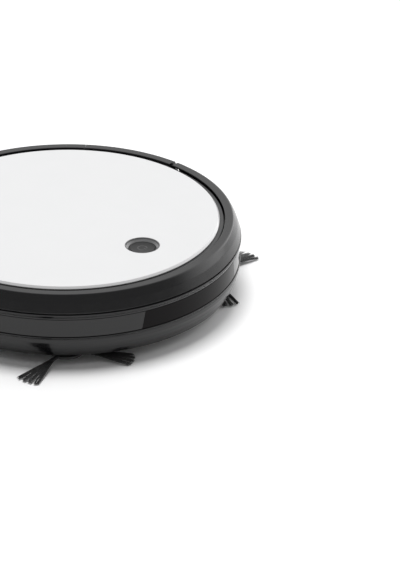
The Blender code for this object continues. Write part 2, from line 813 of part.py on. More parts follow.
def main_brush():
    at = (0.0, BRUSH_Y, BRUSH_Z)
    turned(
        "main_brush_core",
        [
            (0, 84.1),
            (4.4, 84.1),
            (4.4, BRUSH_HALF),
            (BRUSH_CORE, BRUSH_HALF),
            (BRUSH_CORE, -BRUSH_HALF),
            (3.0, -BRUSH_HALF),
            (3.0, -81.2),
            (0, -81.2),
        ],
        "satin_black",
        at=at,
        axis="X",
        steps=24,
    )
    turned(
        "main_brush_bearing",
        [(8.0, -78.4), (8.0, -81.3), (3.3, -81.3), (3.3, -78.4)],
        "pale_grey",
        at=at,
        axis="X",
        closed=True,
        steps=24,
    )
    sleeve = turned(
        "main_brush_bristles",
        [
            (BRUSH_CORE + 1.3, BRUSH_HALF - 1.0),
            (BRUSH_CORE + 1.3, -BRUSH_HALF + 1.0),
            (BRUSH_CORE + GAP, -BRUSH_HALF + 1.0),
            (BRUSH_CORE + GAP, BRUSH_HALF - 1.0),
        ],
        "bristle",
        at=at,
        axis="X",
        closed=True,
        steps=20,
    )
    rows = bmesh.new()
    row_count, twist, thickness = 4, 14.0, 1.8
    root = BRUSH_CORE + 0.8
    for index, (low, high) in enumerate(brush_spans()):
        for row in range(row_count):
            made = bmesh.ops.create_cube(rows, size=1.0)["verts"]
            size = Matrix.Diagonal((high - low, thickness, BRUSH_RADIUS - root, 1.0))
            middle = (BRUSH_RADIUS + root) / 2
            turn = Matrix.Rotation(math.radians(360 / row_count * row + twist * index), 4, "X")
            place = Matrix.Translation(((low + high) / 2, BRUSH_Y, BRUSH_Z)) @ turn
            bmesh.ops.transform(rows, matrix=place @ Matrix.Translation((0, 0, middle)) @ size, verts=made)
    combine(sleeve, solid("brush_rows", rows, None), "UNION")

    housing = boxes("brush_housing", [((-84.0, 10.0, 12.8), (84.0, 64.0, 53.0))], "matt_black")
    chamber = [(BRUSH_Y + CHAMBER_RADIUS, 5.0)] + arc((BRUSH_Y, BRUSH_Z), CHAMBER_RADIUS, 0, 180, 16)
    chamber.append((BRUSH_Y - CHAMBER_RADIUS, 5.0))
    combine(housing, outline("chamber_inside", chamber, -CHAMBER_HALF, CHAMBER_HALF, None, "X"))
    combine(housing, boxes("chamber_outlet", [((-50.0, 52.0, 24.0), (50.0, 70.0, 42.0))], None))
    drive = ((80.0, BRUSH_Y, BRUSH_Z), (90.0, BRUSH_Y, BRUSH_Z), 5.0)
    combine(housing, rods("drive_hole", [drive], None, sides=20))

    plate = ((-83.0, 9.0, 7.2), (83.0, 65.0, 9.7))
    guard = boxes("brush_guard", [plate], "satin_black", at=(0, BRUSH_Y, 8.5))
    windows = []
    edges = [-79.0] + [x for bar in GUARD_BARS for x in (bar - 1.5, bar + 1.5)] + [79.0]
    for low, high in zip(edges[::2], edges[1::2]):
        windows.append(((low, 15.0, 0.0), (high, 59.0, 20.0)))
    combine(guard, boxes("guard_windows", windows, None))

    motor = boxes("brush_motor", [((84.4, 20.0, 13.0), (99.0, 62.0, 44.0))], "grey_plastic")
    can = ((95.0, 52.0, 31.0), (126.0, 52.0, 31.0), 11.0)
    combine(motor, rods("brush_motor_can", [can], None, sides=20), "UNION")


def bin_outline(inset):
    """The dust bin's plan, with a round rear, drawn some millimetres inside its outer face."""
    right, left, front = BIN_RIGHT + inset, BIN_LEFT - inset, BIN_FRONT + inset
    radius = BIN_ARC - inset
    first = math.degrees(math.acos(left / radius))
    last = math.degrees(math.acos(right / radius))
    return [(right, front), (left, front)] + arc((0.0, 0.0), radius, first, last, 10)


FILTER_Y = (84.0, 124.0)
FILTER_Z = (22.0, 58.0)


def dust_bin():
    tank = outline("dustbin_tank", bin_outline(0.0), BIN_LOW, BIN_TOP, "smoke")
    combine(tank, outline("tank_inside", bin_outline(BIN_WALL), BIN_LOW + BIN_WALL, 80.0, None))
    cuts = [
        ((-48.0, 60.0, 24.0), (48.0, 70.0, 42.0)),
        ((55.0, FILTER_Y[0], FILTER_Z[0]), (65.0, FILTER_Y[1], FILTER_Z[1])),
    ]
    combine(tank, boxes("tank_openings", cuts, None))
    outline("dustbin_lid", bin_outline(0.0), BIN_TOP + GAP, BIN_TOP + 2.5, "smoke")

    frame_low = (54.0, FILTER_Y[0] + GAP, FILTER_Z[0] + GAP)
    frame_high = (BIN_LEFT - GAP, FILTER_Y[1] - GAP, FILTER_Z[1] - GAP)
    frame = boxes("filter_frame", [(frame_low, frame_high)], "pale_grey")
    hole = ((50.0, FILTER_Y[0] + 4, FILTER_Z[0] + 4), (65.0, FILTER_Y[1] - 4, FILTER_Z[1] - 4))
    combine(frame, boxes("filter_hole", [hole], None))
    first, last, pleats = FILTER_Y[0] + 4.4, FILTER_Y[1] - 4.4, 10
    near, far = [], []
    for i in range(2 * pleats + 1):
        y = first + (last - first) * i / (2 * pleats)
        x = 55.0 if i % 2 else 58.0
        near.append((x, y))
        far.append((x + 1.2, y))
    outline("dust_filter", near + far[::-1], FILTER_Z[0] + 4.4, FILTER_Z[1] - 4.4, "paper_white")

    profile = (
        RING_UPPER
        + [(BAND_RADIUS, BAND_TOP), (BAND_RADIUS, BAND_LOW)]
        + RING_LOWER
        + [(152.6, BIN_LOW), (BIN_ARC + 0.4, BIN_LOW), (BIN_ARC + 0.4, 15.2), (151.8, 15.4)]
        + RING_INSIDE[1:]
        + [(RING_INNER, 75.3)]
    )
    rear = sectors("dustbin_rear_wall", profile, [(SIDE_END + 0.15, 360 - SIDE_END - 0.15)], "gloss_black")
    combine(rear, boxes("release_hole", [((-15.3, 150.0, 38.0), (15.3, 172.0, 51.0))], None))
    release_at = (0.0, 160.0, 44.5)
    face = rectangle(157.0, 163.8, 38.3, 50.7)
    release = sectors("bin_release_button", face, [(174.0, 186.0)], "satin_black")
    combine(release, boxes("release_sides", [((-15.0, 150.0, 30.0), (15.0, 172.0, 60.0))], None), "INTERSECT")
    release.data.transform(Matrix.Translation(-Vector(release_at) * MM))
    release.location = Vector(release_at) * MM


def blower():
    at = (0.0, BLOWER_Y, BLOWER_Z)
    wall = 1.5
    housing = turned(
        "blower_housing",
        [
            (0, BLOWER_HIGH_X),
            (BLOWER_RADIUS, BLOWER_HIGH_X),
            (BLOWER_RADIUS, BLOWER_LOW_X),
            (0, BLOWER_LOW_X),
        ],
        "matt_black",
        at=at,
        axis="X",
        steps=24,
    )
    spout = ((BLOWER_LOW_X + 0.5, 58.0, 53.8), (BLOWER_HIGH_X - 0.5, BLOWER_Y, 66.0))
    combine(housing, boxes("blower_spout", [spout], None), "UNION")
    low, high = BLOWER_LOW_X + wall, BLOWER_HIGH_X - wall
    core = ((low, BLOWER_Y, BLOWER_Z), (high, BLOWER_Y, BLOWER_Z), BLOWER_RADIUS - wall)
    combine(housing, rods("blower_inside", [core], None, sides=24))
    duct = ((low + 0.5, 50.0, 55.3), (high - 0.5, BLOWER_Y, 64.5))
    combine(housing, boxes("blower_duct", [duct], None))
    holes = [
        ((BLOWER_LOW_X - 5, BLOWER_Y, BLOWER_Z), (low + 1, BLOWER_Y, BLOWER_Z), 13.0),
        ((high - 1, BLOWER_Y, BLOWER_Z), (BLOWER_HIGH_X + 5, BLOWER_Y, BLOWER_Z), 2.2),
    ]
    combine(housing, rods("blower_holes", holes, None, sides=24))

    impeller = turned(
        "impeller",
        [
            (0, 89.8),
            (1.6, 89.8),
            (1.6, 82.5),
            (21.0, 82.5),
            (21.0, 81.0),
            (8.0, 78.0),
            (3.5, 70.0),
            (0, 70.0),
        ],
        "pale_grey",
        at=at,
        axis="X",
        steps=24,
    )
    blades = bmesh.new()
    blade_count = 8
    for i in range(blade_count):
        made = bmesh.ops.create_cube(blades, size=1.0)["verts"]
        size = Matrix.Diagonal((11.5, 1.2, 11.0, 1.0))
        turn = Matrix.Rotation(2 * math.pi * i / blade_count, 4, "X")
        place = Matrix.Translation((76.0, BLOWER_Y, BLOWER_Z)) @ turn @ Matrix.Translation((0, 0, 14.0))
        bmesh.ops.transform(blades, matrix=place @ size, verts=made)
    combine(impeller, solid("impeller_blades", blades, None), "UNION")
    turned(
        "blower_motor",
        [(0, 108.0), (11.0, 108.0), (11.0, BLOWER_HIGH_X + GAP), (0, BLOWER_HIGH_X + GAP)],
        "steel",
        at=at,
        axis="X",
        steps=24,
    )


def electronics():
    boxes("battery_pack", [((-39.0, -89.0, 12.8), (39.0, -34.0, 33.0))], "wrap_blue")
    cover = boxes("battery_cover", [((-45.0, -93.0, UNDERSIDE), (45.0, -30.0, 12.2))], "satin_black")
    grips = []
    for i in range(5):
        grips.append(((-9.0, -88.0 + 4 * i, 0.0), (9.0, -86.0 + 4 * i, UNDERSIDE + 0.8)))
    combine(cover, boxes("cover_grips", grips, None))
    parts = [
        ((-4.0, -96.5, 45.0), (4.0, -89.0, 60.0)),
        ((-38.0, -80.0, 45.0), (-22.0, -64.0, 48.5)),
        ((10.0, -70.0, 45.0), (30.0, -58.0, 51.0)),
        ((-15.0, -60.0, 45.0), (-5.0, -46.0, 55.0)),
        ((38.0, -88.0, 45.0), (54.0, -76.0, 54.0)),
        ((36.0, -56.0, 45.0), (54.0, -42.0, 50.0)),
        ((-54.0, -58.0, 45.0), (-40.0, -42.0, 53.0)),
    ]
    board = boxes("mainboard", [((-60.0, -97.0, 44.0), (60.0, -36.0, 45.6))], "board_green")
    combine(board, boxes("board_components", parts, None), "UNION")
    for name, x in (("right_charging_contact", -31.0), ("left_charging_contact", 31.0)):
        boxes(name, [((x - 10.0, -131.0, 9.0), (x + 10.0, -121.0, 9.7))], "gold")
    for name, angle in SENSOR_ANGLES.items():
        window = bmesh.new()
        low, high = -SENSOR_RADIUS - 3.7, -SENSOR_RADIUS + 3.7
        add_box(window, (-7.7, low, UNDERSIDE + GAP), (7.7, high, 12.2), angle)
        solid(name + "_cliff_sensor", window, "window_black")

    x, y = SWITCH_AT
    rocker = [(x - 8.2, 11.2), (x, 10.4), (x + 8.2, 11.2), (x + 7.0, 18.0), (x - 7.0, 18.0)]
    outline("power_rocker", rocker, y - 4.7, y + 4.7, "matt_black", "Y", at=(x, y, 14.5))


clear_scene()
PARTS = new_collection("robot_vacuum")
CUTTERS = new_collection("cutters")
chassis()
upper_housing()
top_cover()
bumper()
drive_wheels()
caster()
side_brushes()
main_brush()
dust_bin()
blower()
electronics()
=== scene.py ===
import random
from math import atan2, ceil, cos, pi, radians, sin, tan

import bmesh
import bpy
from mathutils import Matrix, Vector


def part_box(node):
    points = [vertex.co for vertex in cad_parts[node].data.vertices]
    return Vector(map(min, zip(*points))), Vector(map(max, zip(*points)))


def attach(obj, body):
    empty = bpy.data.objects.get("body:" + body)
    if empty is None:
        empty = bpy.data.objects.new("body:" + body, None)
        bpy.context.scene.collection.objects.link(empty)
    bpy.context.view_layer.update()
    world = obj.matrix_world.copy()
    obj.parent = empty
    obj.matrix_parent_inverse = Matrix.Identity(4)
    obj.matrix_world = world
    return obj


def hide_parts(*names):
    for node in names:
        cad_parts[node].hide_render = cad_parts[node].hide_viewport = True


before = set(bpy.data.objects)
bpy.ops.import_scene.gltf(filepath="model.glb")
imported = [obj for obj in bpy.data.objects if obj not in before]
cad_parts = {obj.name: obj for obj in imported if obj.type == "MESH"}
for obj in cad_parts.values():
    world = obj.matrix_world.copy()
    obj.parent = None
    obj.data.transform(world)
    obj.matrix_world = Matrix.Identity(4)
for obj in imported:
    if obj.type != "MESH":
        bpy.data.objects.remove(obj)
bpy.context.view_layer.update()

# Sizes below are in millimetres, like the design's; meshes are made in metres.
MM = 0.001


def node_box(node):
    """A CAD node's corners in millimetres."""
    low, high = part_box(node)
    return low / MM, high / MM


def node_middle(node):
    low, high = node_box(node)
    return (low + high) / 2


# Driving dimensions, read from the frame where the frame has them
COVER_RADIUS = node_box("top_cover")[1].x
COVER_TOP = node_box("top_cover")[1].z
COVER_LOW = node_box("top_cover")[0].z
DECK_TOP = COVER_LOW - 0.3
BUTTON_AT = node_middle("power_button").xy
BUTTON_RADIUS = (node_box("power_button")[1].x - node_box("power_button")[0].x) / 2
BUTTON_TOP = node_box("power_button")[1].z
BEZEL_RADIUS = (node_box("button_bezel")[1].x - node_box("button_bezel")[0].x) / 2
UNDERSIDE = node_box("base_chassis")[0].z
CORE_RADIUS = 147.5
DECK_RADIUS = 148.3
RING_TOP = 77.0
RING_INNER = 149.7
BAND_RADIUS = 163.2
BAND_TOP = 53.3
BAND_LOW = 35.6
BUMPER_END = 87.2
SIDE_START = 88.7
SIDE_END = 122.7
WINDOW_TOP_ANGLE = 23.2
WINDOW_LOW_ANGLE = 24.5
WHEEL_RADIUS = node_box("left_tyre")[1].z / 2
WHEEL_X = node_middle("left_tyre").x
TREAD_HALF = (node_box("left_tyre")[1].x - node_box("left_tyre")[0].x) / 2
CASTER_AT = node_middle("caster_socket").xy
ROLLER_AT = node_middle("caster_wheel")
SIDE_BRUSH_AT = node_middle("left_side_brush_hub").xy
SIDE_BRUSH_REACH = 64.0
SIDE_BRUSH_FIRST = -123.0
BRUSH_AT = node_middle("main_brush_bristles")
BRUSH_RADIUS = 23.0
BRUSH_CORE = 9.0
BRUSH_HALF = 77.0
GUARD_BARS = (-52.0, -26.0, 0.0, 26.0, 52.0)

# An opening through the ring at the band, as (radius, height), and the bin's way in at the back
WALL_PORT = [(150, 38), (170, 38), (170, 51), (150, 51)]
BIN_WAY_LOW = (-124.6, 78.3)
BIN_WAY_HIGH = (124.6, 170.0)

# The ring's outline as (radius, height, fillet), from its inner top edge down the outside
RING_UPPER = [
    (RING_INNER, RING_TOP, 0.5),
    (157.9, RING_TOP, 2.2),
    (161.5, 69.5, 12.0),
    (164.4, 60.6, 0.3),
    (163.2, 60.1, 0.15),
    (163.2, 59.3, 0.15),
    (164.9, 58.9, 0.4),
    (165.0, 57.7, 0.45),
    (163.3, 54.9, 0.5),
    (163.1, 53.6, 0.1),
]
RING_LOWER = [
    (163.8, 35.3, 0.25),
    (164.0, 34.5, 0.4),
    (162.7, 32.6, 0.4),
    (162.95, 31.4, 0.5),
    (162.8, 28.5, 4.0),
    (161.4, 23.5, 5.0),
    (159.2, 18.0, 5.0),
    (156.4, 13.4, 1.2),
]
RING_INSIDE = [
    (153.2, 13.4, 0.3),
    (155.4, 18.0, 0.0),
    (157.6, 24.0, 0.0),
    (159.1, 29.0, 0.0),
    (159.4, 33.0, 0.0),
    (159.4, 55.0, 0.0),
    (160.6, 60.5, 0.0),
    (159.2, 67.5, 0.0),
    (157.0, 73.5, 0.0),
    (155.2, 75.3, 0.3),
]


# ---- finishes ----


def start_material(name):
    made = bpy.data.materials.new(name)
    made.use_nodes = True
    tree = made.node_tree
    shader = tree.nodes["Principled BSDF"]
    place = tree.nodes.new("ShaderNodeTexCoord").outputs["Object"]
    return made, tree, shader, place


def stretched(tree, place, scale):
    mapping = tree.nodes.new("ShaderNodeMapping")
    mapping.inputs["Scale"].default_value = scale
    tree.links.new(place, mapping.inputs["Vector"])
    return mapping.outputs["Vector"]


def noise(tree, place, size, detail=3.0, roughness=0.5):
    """Noise whose patches are about size millimetres across."""
    made = tree.nodes.new("ShaderNodeTexNoise")
    made.inputs["Scale"].default_value = 1.0 / (size * MM)
    made.inputs["Detail"].default_value = detail
    made.inputs["Roughness"].default_value = roughness
    tree.links.new(place, made.inputs["Vector"])
    return made.outputs["Fac"]


def remap(tree, value, low, high, from_low=0.3, from_high=0.7):
    made = tree.nodes.new("ShaderNodeMapRange")
    made.inputs["From Min"].default_value = from_low
    made.inputs["From Max"].default_value = from_high
    made.inputs["To Min"].default_value = low
    made.inputs["To Max"].default_value = high
    tree.links.new(value, made.inputs["Value"])
    return made.outputs["Result"]


def two_colours(tree, factor, first, second):
    made = tree.nodes.new("ShaderNodeMix")
    made.data_type = "RGBA"
    made.inputs["A"].default_value = (*first, 1.0)
    made.inputs["B"].default_value = (*second, 1.0)
    tree.links.new(factor, made.inputs["Factor"])
    return made.outputs["Result"]


def bump(tree, height, strength, depth=0.05, under=None):
    made = tree.nodes.new("ShaderNodeBump")
    made.inputs["Strength"].default_value = strength
    made.inputs["Distance"].default_value = depth * MM
    tree.links.new(height, made.inputs["Height"])
    if under is not None:
        tree.links.new(under, made.inputs["Normal"])
    return made.outputs["Normal"]


def plastic(
    name,
    colour,
    roughness,
    spread=0.04,
    mottle=0.06,
    grain=0.15,
    grain_size=0.6,
    level=0.5,
    clear=0.0,
):
    """Moulded plastic: faint colour drift, uneven polish with hairline rubs, and a fine grain."""
    made, tree, shader, place = start_material(name)
    drift = remap(tree, noise(tree, place, 35.0), 0.0, 1.0)
    dark = [c * (1.0 - mottle) for c in colour]
    light = [min(1.0, c * (1.0 + mottle)) for c in colour]
    tree.links.new(two_colours(tree, drift, dark, light), shader.inputs["Base Color"])
    rubs = noise(tree, place, 9.0, 6.0, 0.7)
    low, high = max(0.02, roughness - spread), roughness + spread
    tree.links.new(remap(tree, rubs, low, high), shader.inputs["Roughness"])
    fine = noise(tree, place, grain_size, 2.0)
    tree.links.new(bump(tree, fine, grain), shader.inputs["Normal"])
    shader.inputs["Specular IOR Level"].default_value = level
    shader.inputs["Transmission Weight"].default_value = clear
    return made


def textured_plastic(name, colour, roughness):
    """Spark-eroded moulding texture: a close pebble grain over uneven satin."""
    made, tree, shader, place = start_material(name)
    pebbles = tree.nodes.new("ShaderNodeTexVoronoi")
    pebbles.feature = "SMOOTH_F1"
    pebbles.inputs["Scale"].default_value = 1.0 / (0.55 * MM)
    tree.links.new(place, pebbles.inputs["Vector"])
    patches = remap(tree, noise(tree, place, 22.0, 5.0), 0.0, 1.0)
    dark = [c * 0.85 for c in colour]
    light = [c * 1.2 for c in colour]
    tree.links.new(two_colours(tree, patches, dark, light), shader.inputs["Base Color"])
    rubbed = noise(tree, place, 6.0, 4.0)
    worn = remap(tree, rubbed, roughness - 0.07, roughness + 0.07)
    tree.links.new(worn, shader.inputs["Roughness"])
    coarse = bump(tree, noise(tree, place, 0.9, 3.0), 0.2, 0.06)
    both = bump(tree, pebbles.outputs["Distance"], 0.45, 0.07, coarse)
    tree.links.new(both, shader.inputs["Normal"])
    return made


def rubber_finish(name, colour):
    made, tree, shader, place = start_material(name)
    dust = remap(tree, noise(tree, place, 4.0, 6.0, 0.65), 0.0, 1.0, 0.45, 0.75)
    light = [min(1.0, c * 1.9 + 0.01) for c in colour]
    tree.links.new(two_colours(tree, dust, colour, light), shader.inputs["Base Color"])
    tree.links.new(remap(tree, noise(tree, place, 3.0), 0.6, 0.85), shader.inputs["Roughness"])
    tree.links.new(bump(tree, noise(tree, place, 0.5, 4.0), 0.35, 0.08), shader.inputs["Normal"])
    return made


def fibre_finish(name, colour, tip):
    """Nylon filaments: the colour drifts from strand to strand and each strand has a soft gloss."""
    made, tree, shader, place = start_material(name)
    strands = remap(tree, noise(tree, place, 1.2, 2.0), 0.0, 1.0, 0.4, 0.65)
    tree.links.new(two_colours(tree, strands, colour, tip), shader.inputs["Base Color"])
    tree.links.new(remap(tree, noise(tree, place, 2.5), 0.3, 0.5), shader.inputs["Roughness"])
    tree.links.new(bump(tree, noise(tree, place, 0.25), 0.2, 0.03), shader.inputs["Normal"])
    shader.inputs["Sheen Weight"].default_value = 0.15
    return made


def metal(name, colour, roughness, stretch=(1.0, 12.0, 12.0)):
    made, tree, shader, place = start_material(name)
    lines = noise(tree, stretched(tree, place, stretch), 6.0, 5.0, 0.65)
    light = [min(1.0, c * 1.1) for c in colour]
    dark = [c * 0.85 for c in colour]
    tint = remap(tree, lines, 0.0, 1.0)
    tree.links.new(two_colours(tree, tint, dark, light), shader.inputs["Base Color"])
    tree.links.new(remap(tree, lines, roughness * 0.7, roughness * 1.4), shader.inputs["Roughness"])
    tree.links.new(bump(tree, lines, 0.12, 0.03), shader.inputs["Normal"])
    shader.inputs["Metallic"].default_value = 1.0
    return made


def circuit_board(name):
    """Solder mask over copper tracks that run square to each other."""
    made, tree, shader, place = start_material(name)
    tracks = tree.nodes.new("ShaderNodeTexBrick")
    tracks.inputs["Scale"].default_value = 1.0 / (9.0 * MM)
    tracks.inputs["Mortar Size"].default_value = 0.06
    tracks.inputs["Color1"].default_value = (0.010, 0.10, 0.035, 1.0)
    tracks.inputs["Color2"].default_value = (0.012, 0.12, 0.045, 1.0)
    tracks.inputs["Mortar"].default_value = (0.04, 0.24, 0.10, 1.0)
    tree.links.new(place, tracks.inputs["Vector"])
    tree.links.new(tracks.outputs["Color"], shader.inputs["Base Color"])
    tree.links.new(remap(tree, noise(tree, place, 5.0), 0.25, 0.45), shader.inputs["Roughness"])
    tree.links.new(bump(tree, tracks.outputs["Fac"], 0.4, 0.05), shader.inputs["Normal"])
    return made


def paper_finish(name, colour):
    made, tree, shader, place = start_material(name)
    fibres = noise(tree, stretched(tree, place, (1.0, 1.0, 6.0)), 1.5, 8.0, 0.75)
    grey = [c * 0.82 for c in colour]
    tint = remap(tree, fibres, 0.0, 1.0)
    tree.links.new(two_colours(tree, tint, grey, colour), shader.inputs["Base Color"])
    tree.links.new(bump(tree, fibres, 0.5, 0.08), shader.inputs["Normal"])
    shader.inputs["Roughness"].default_value = 0.9
    return made


def floor_finish():
    made, tree, shader, place = start_material("studio_floor")
    faint = remap(tree, noise(tree, place, 250.0), 0.0, 1.0)
    pale = two_colours(tree, faint, (0.9, 0.9, 0.902), (0.91, 0.91, 0.912))
    tree.links.new(pale, shader.inputs["Base Color"])
    shader.inputs["Roughness"].default_value = 0.7
    shader.inputs["Specular IOR Level"].default_value = 0.1
    return made


FINISHES = {
    "gloss_white": plastic("white_acrylic", (0.60, 0.602, 0.606), 0.12, 0.03, 0.006, 0.01, 1.5),
    "gloss_black": plastic("black_gloss", (0.0045, 0.0045, 0.005), 0.2, 0.04, 0.1, 0.02, 1.2),
    "band_black": plastic("black_band", (0.004, 0.004, 0.0045), 0.1, 0.03, 0.1, 0.015, 1.5),
    "satin_black": plastic("black_satin", (0.016, 0.016, 0.017), 0.36, 0.06, 0.1, 0.15, 0.5),
    "matt_black": textured_plastic("black_textured", (0.022, 0.022, 0.023), 0.55),
    "window_black": plastic(
        "infrared_window", (0.0020, 0.0012, 0.0015), 0.06, 0.02, 0.2, 0.01, 2.0, level=0.12
    ),
    "grey_plastic": plastic("grey_moulding", (0.13, 0.13, 0.135), 0.42, 0.06, 0.06, 0.2, 0.5),
    "button_grey": plastic(
        "button_cap", (0.010, 0.010, 0.0105), 0.38, 0.05, 0.06, 0.12, 0.35, level=0.3
    ),
    "bezel_grey": plastic("bezel_smoked_metal", (0.13, 0.13, 0.132), 0.25, 0.05, 0.05, 0.05, 0.6),
    "icon_grey": plastic("icon_print", (0.06, 0.06, 0.061), 0.45, 0.05, 0.05, 0.1, 0.3),
    "pale_grey": plastic("pale_moulding", (0.50, 0.51, 0.52), 0.4, 0.05, 0.04, 0.12, 0.6),
    "smoke": plastic("smoked_clear", (0.10, 0.105, 0.11), 0.14, 0.04, 0.05, 0.03, 1.0, clear=0.55),
    "rubber": rubber_finish("tyre_rubber", (0.022, 0.022, 0.022)),
    "blade_rubber": rubber_finish("blade_rubber", (0.035, 0.036, 0.038)),
    "bristle": fibre_finish("black_nylon", (0.006, 0.006, 0.006), (0.022, 0.022, 0.023)),
    "steel": metal("motor_steel", (0.55, 0.55, 0.57), 0.3),
    "zinc": metal("zinc_screw", (0.42, 0.42, 0.44), 0.35, (3.0, 3.0, 3.0)),
    "contact_metal": metal("plated_contact", (0.80, 0.74, 0.58), 0.22),
    "board_green": circuit_board("circuit_board"),
    "wrap_blue": plastic("battery_wrap", (0.03, 0.09, 0.30), 0.3, 0.08, 0.08, 0.2, 3.0),
    "paper_white": paper_finish("filter_paper", (0.78, 0.78, 0.73)),
}


# ---- shapes ----

PIECES = bpy.data.collections.new("visual_pieces")
TOOLS = bpy.data.collections.new("visual_tools")
bpy.context.scene.collection.children.link(PIECES)
bpy.context.scene.collection.children.link(TOOLS)


def mesh_from(bm, name, sharp=32.0):
    bmesh.ops.transform(bm, matrix=Matrix.Scale(MM, 4), verts=bm.verts)
    bmesh.ops.recalc_face_normals(bm, faces=bm.faces)
    mesh = bpy.data.meshes.new(name)
    bm.to_mesh(mesh)
    bm.free()
    mesh.shade_smooth()
    mesh.set_sharp_from_angle(angle=radians(sharp))
    return mesh


def piece(bm, name, body, finish, node=None, sharp=32.0):
    """A visible piece, drawn in millimetres, that rides on a CAD body."""
    obj = bpy.data.objects.new(name, mesh_from(bm, name, sharp))
    PIECES.objects.link(obj)
    obj.data.materials.append(FINISHES[finish])
    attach(obj, body)
    if node:
        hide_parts(node)
    return obj


def fresh(add, *where, **options):
    """A new mesh that holds one added shape."""
    bm = bmesh.new()
    add(bm, *where, **options)
    return bm


def span(side, near, far):
    """A stretch of x on the left (1) or the right (-1) of the body, lower end first."""
    return sorted((side * near, side * far))


def join_rings(bm, rings):
    """Faces from each ring of points to the next, and a cap on either end."""
    for one, two in zip(rings, rings[1:]):
        for k, here in enumerate(one):
            after = (k + 1) % len(one)
            bm.faces.new((here, one[after], two[after], two[k]))
    bm.faces.new(rings[0])
    bm.faces.new(rings[-1][::-1])


def apply_modifiers(obj):
    """Make the evaluated mesh the object's own, so nothing is left to work out."""
    bpy.context.view_layer.update()
    graph = bpy.context.evaluated_depsgraph_get()
    done = bpy.data.meshes.new_from_object(obj.evaluated_get(graph))
    obj.modifiers.clear()
    old = obj.data
    obj.data = done
    bpy.data.meshes.remove(old)
    return obj


def cut(obj, bm, name):
    """Take a shape out of a piece, with a throwaway tool."""
    knife = bpy.data.objects.new(name, mesh_from(bm, name))
    TOOLS.objects.link(knife)
    boolean = obj.modifiers.new(name, "BOOLEAN")
    boolean.operation = "DIFFERENCE"
    boolean.solver = "EXACT"
    boolean.object = knife
    apply_modifiers(obj)
    bpy.data.objects.remove(knife)
    return obj


def soften(obj, width, angle=40.0, segments=2):
    """Round the edges sharper than an angle, and keep large faces flat in the shading."""
    bevel = obj.modifiers.new("Soft edges", "BEVEL")
    bevel.width = width * MM
    bevel.segments = segments
    bevel.limit_method = "ANGLE"
    bevel.angle_limit = radians(angle)
    bevel.use_clamp_overlap = True
    bevel.harden_normals = False
    apply_modifiers(obj)
    obj.data.shade_smooth()
    normals = obj.modifiers.new("Flat faces stay flat", "WEIGHTED_NORMAL")
    normals.keep_sharp = False
    apply_modifiers(obj)
    return obj


def refined(node, body, finish, width):
    """A copy of a flat-faced CAD node with its edges rounded, which stands for it."""
    bm = bmesh.new()
    bm.from_mesh(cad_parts[node].data)
    bmesh.ops.remove_doubles(bm, verts=bm.verts, dist=0.005 * MM)
    bmesh.ops.dissolve_limit(bm, angle_limit=radians(0.5), verts=bm.verts, edges=bm.edges)
    bmesh.ops.transform(bm, matrix=Matrix.Scale(1.0 / MM, 4), verts=bm.verts)
    return soften(piece(bm, node + "_finished", body, finish, node), width)


def rounded(points, steps=4):
    """A closed (x, y, fillet) outline with each corner rounded."""
    result = []
    count = len(points)
    for i in range(count):
        here = Vector(points[i][:2])
        fillet = points[i][2] if len(points[i]) > 2 else 0.0
        back = Vector(points[i - 1][:2]) - here
        ahead = Vector(points[(i + 1) % count][:2]) - here
        if fillet <= 0.0:
            result.append(tuple(here))
            continue
        half = back.angle(ahead) / 2
        reach = min(fillet / max(tan(half), 0.05), 0.48 * back.length, 0.48 * ahead.length)
        start = here + back.normalized() * reach
        end = here + ahead.normalized() * reach
        for k in range(steps + 1):
            t = k / steps
            result.append(tuple(start * (1 - t) ** 2 + here * 2 * t * (1 - t) + end * t ** 2))
    return result


def add_sector(bm, outline, start, end, step=1.5):
    """Sweep a closed (radius, height) outline round the body between two angles from the front."""
    steps = max(1, ceil((end - start) / step))
    rings = []
    for i in range(steps + 1):
        angle = radians(start + (end - start) * i / steps)
        ring = [bm.verts.new((r * sin(angle), -r * cos(angle), z)) for r, z in outline]
        rings.append(ring)
    join_rings(bm, rings)


def add_turned(bm, outline, middle=(0, 0, 0), axis="Z", steps=64, closed=False):
    """Turn (radius, height) points about a Z or X axis. Points on the axis close the shape."""
    place = Matrix(((0, 0, 1), (0, 1, 0), (-1, 0, 0))) if axis == "X" else Matrix.Identity(3)
    middle = Vector(middle)
    rings = []
    for r, h in outline:
        if r < 1e-6:
            rings.append([bm.verts.new(middle + place @ Vector((0.0, 0.0, h)))])
            continue
        ring = []
        for i in range(steps):
            a = 2 * pi * i / steps
            ring.append(bm.verts.new(middle + place @ Vector((r * cos(a), r * sin(a), h))))
        rings.append(ring)
    pairs = list(zip(rings, rings[1:]))
    if closed:
        pairs.append((rings[-1], rings[0]))
    for one, two in pairs:
        for i in range(steps):
            j = (i + 1) % steps
            corners = [one[i % len(one)], one[j % len(one)], two[j % len(two)], two[i % len(two)]]
            distinct = list(dict.fromkeys(corners))
            if len(distinct) > 2:
                bm.faces.new(distinct)


def add_box(bm, low, high, turn=0.0):
    low, high = Vector(low), Vector(high)
    spin = Matrix.Rotation(radians(turn), 4, "Z")
    size = Matrix.Diagonal((*(high - low), 1.0))
    place = spin @ Matrix.Translation((low + high) / 2) @ size
    bmesh.ops.create_cube(bm, size=1.0, matrix=place)


def add_rod(bm, start, end, radius, sides=24):
    start, end = Vector(start), Vector(end)
    along = end - start
    turn = along.to_track_quat("Z", "Y").to_matrix().to_4x4()
    bmesh.ops.create_cone(
        bm,
        cap_ends=True,
        segments=sides,
        radius1=radius,
        radius2=radius,
        depth=along.length,
        matrix=Matrix.Translation((start + end) / 2) @ turn,
    )


def polar(angle, radius):
    turn = radians(angle)
    return radius * sin(turn), -radius * cos(turn)


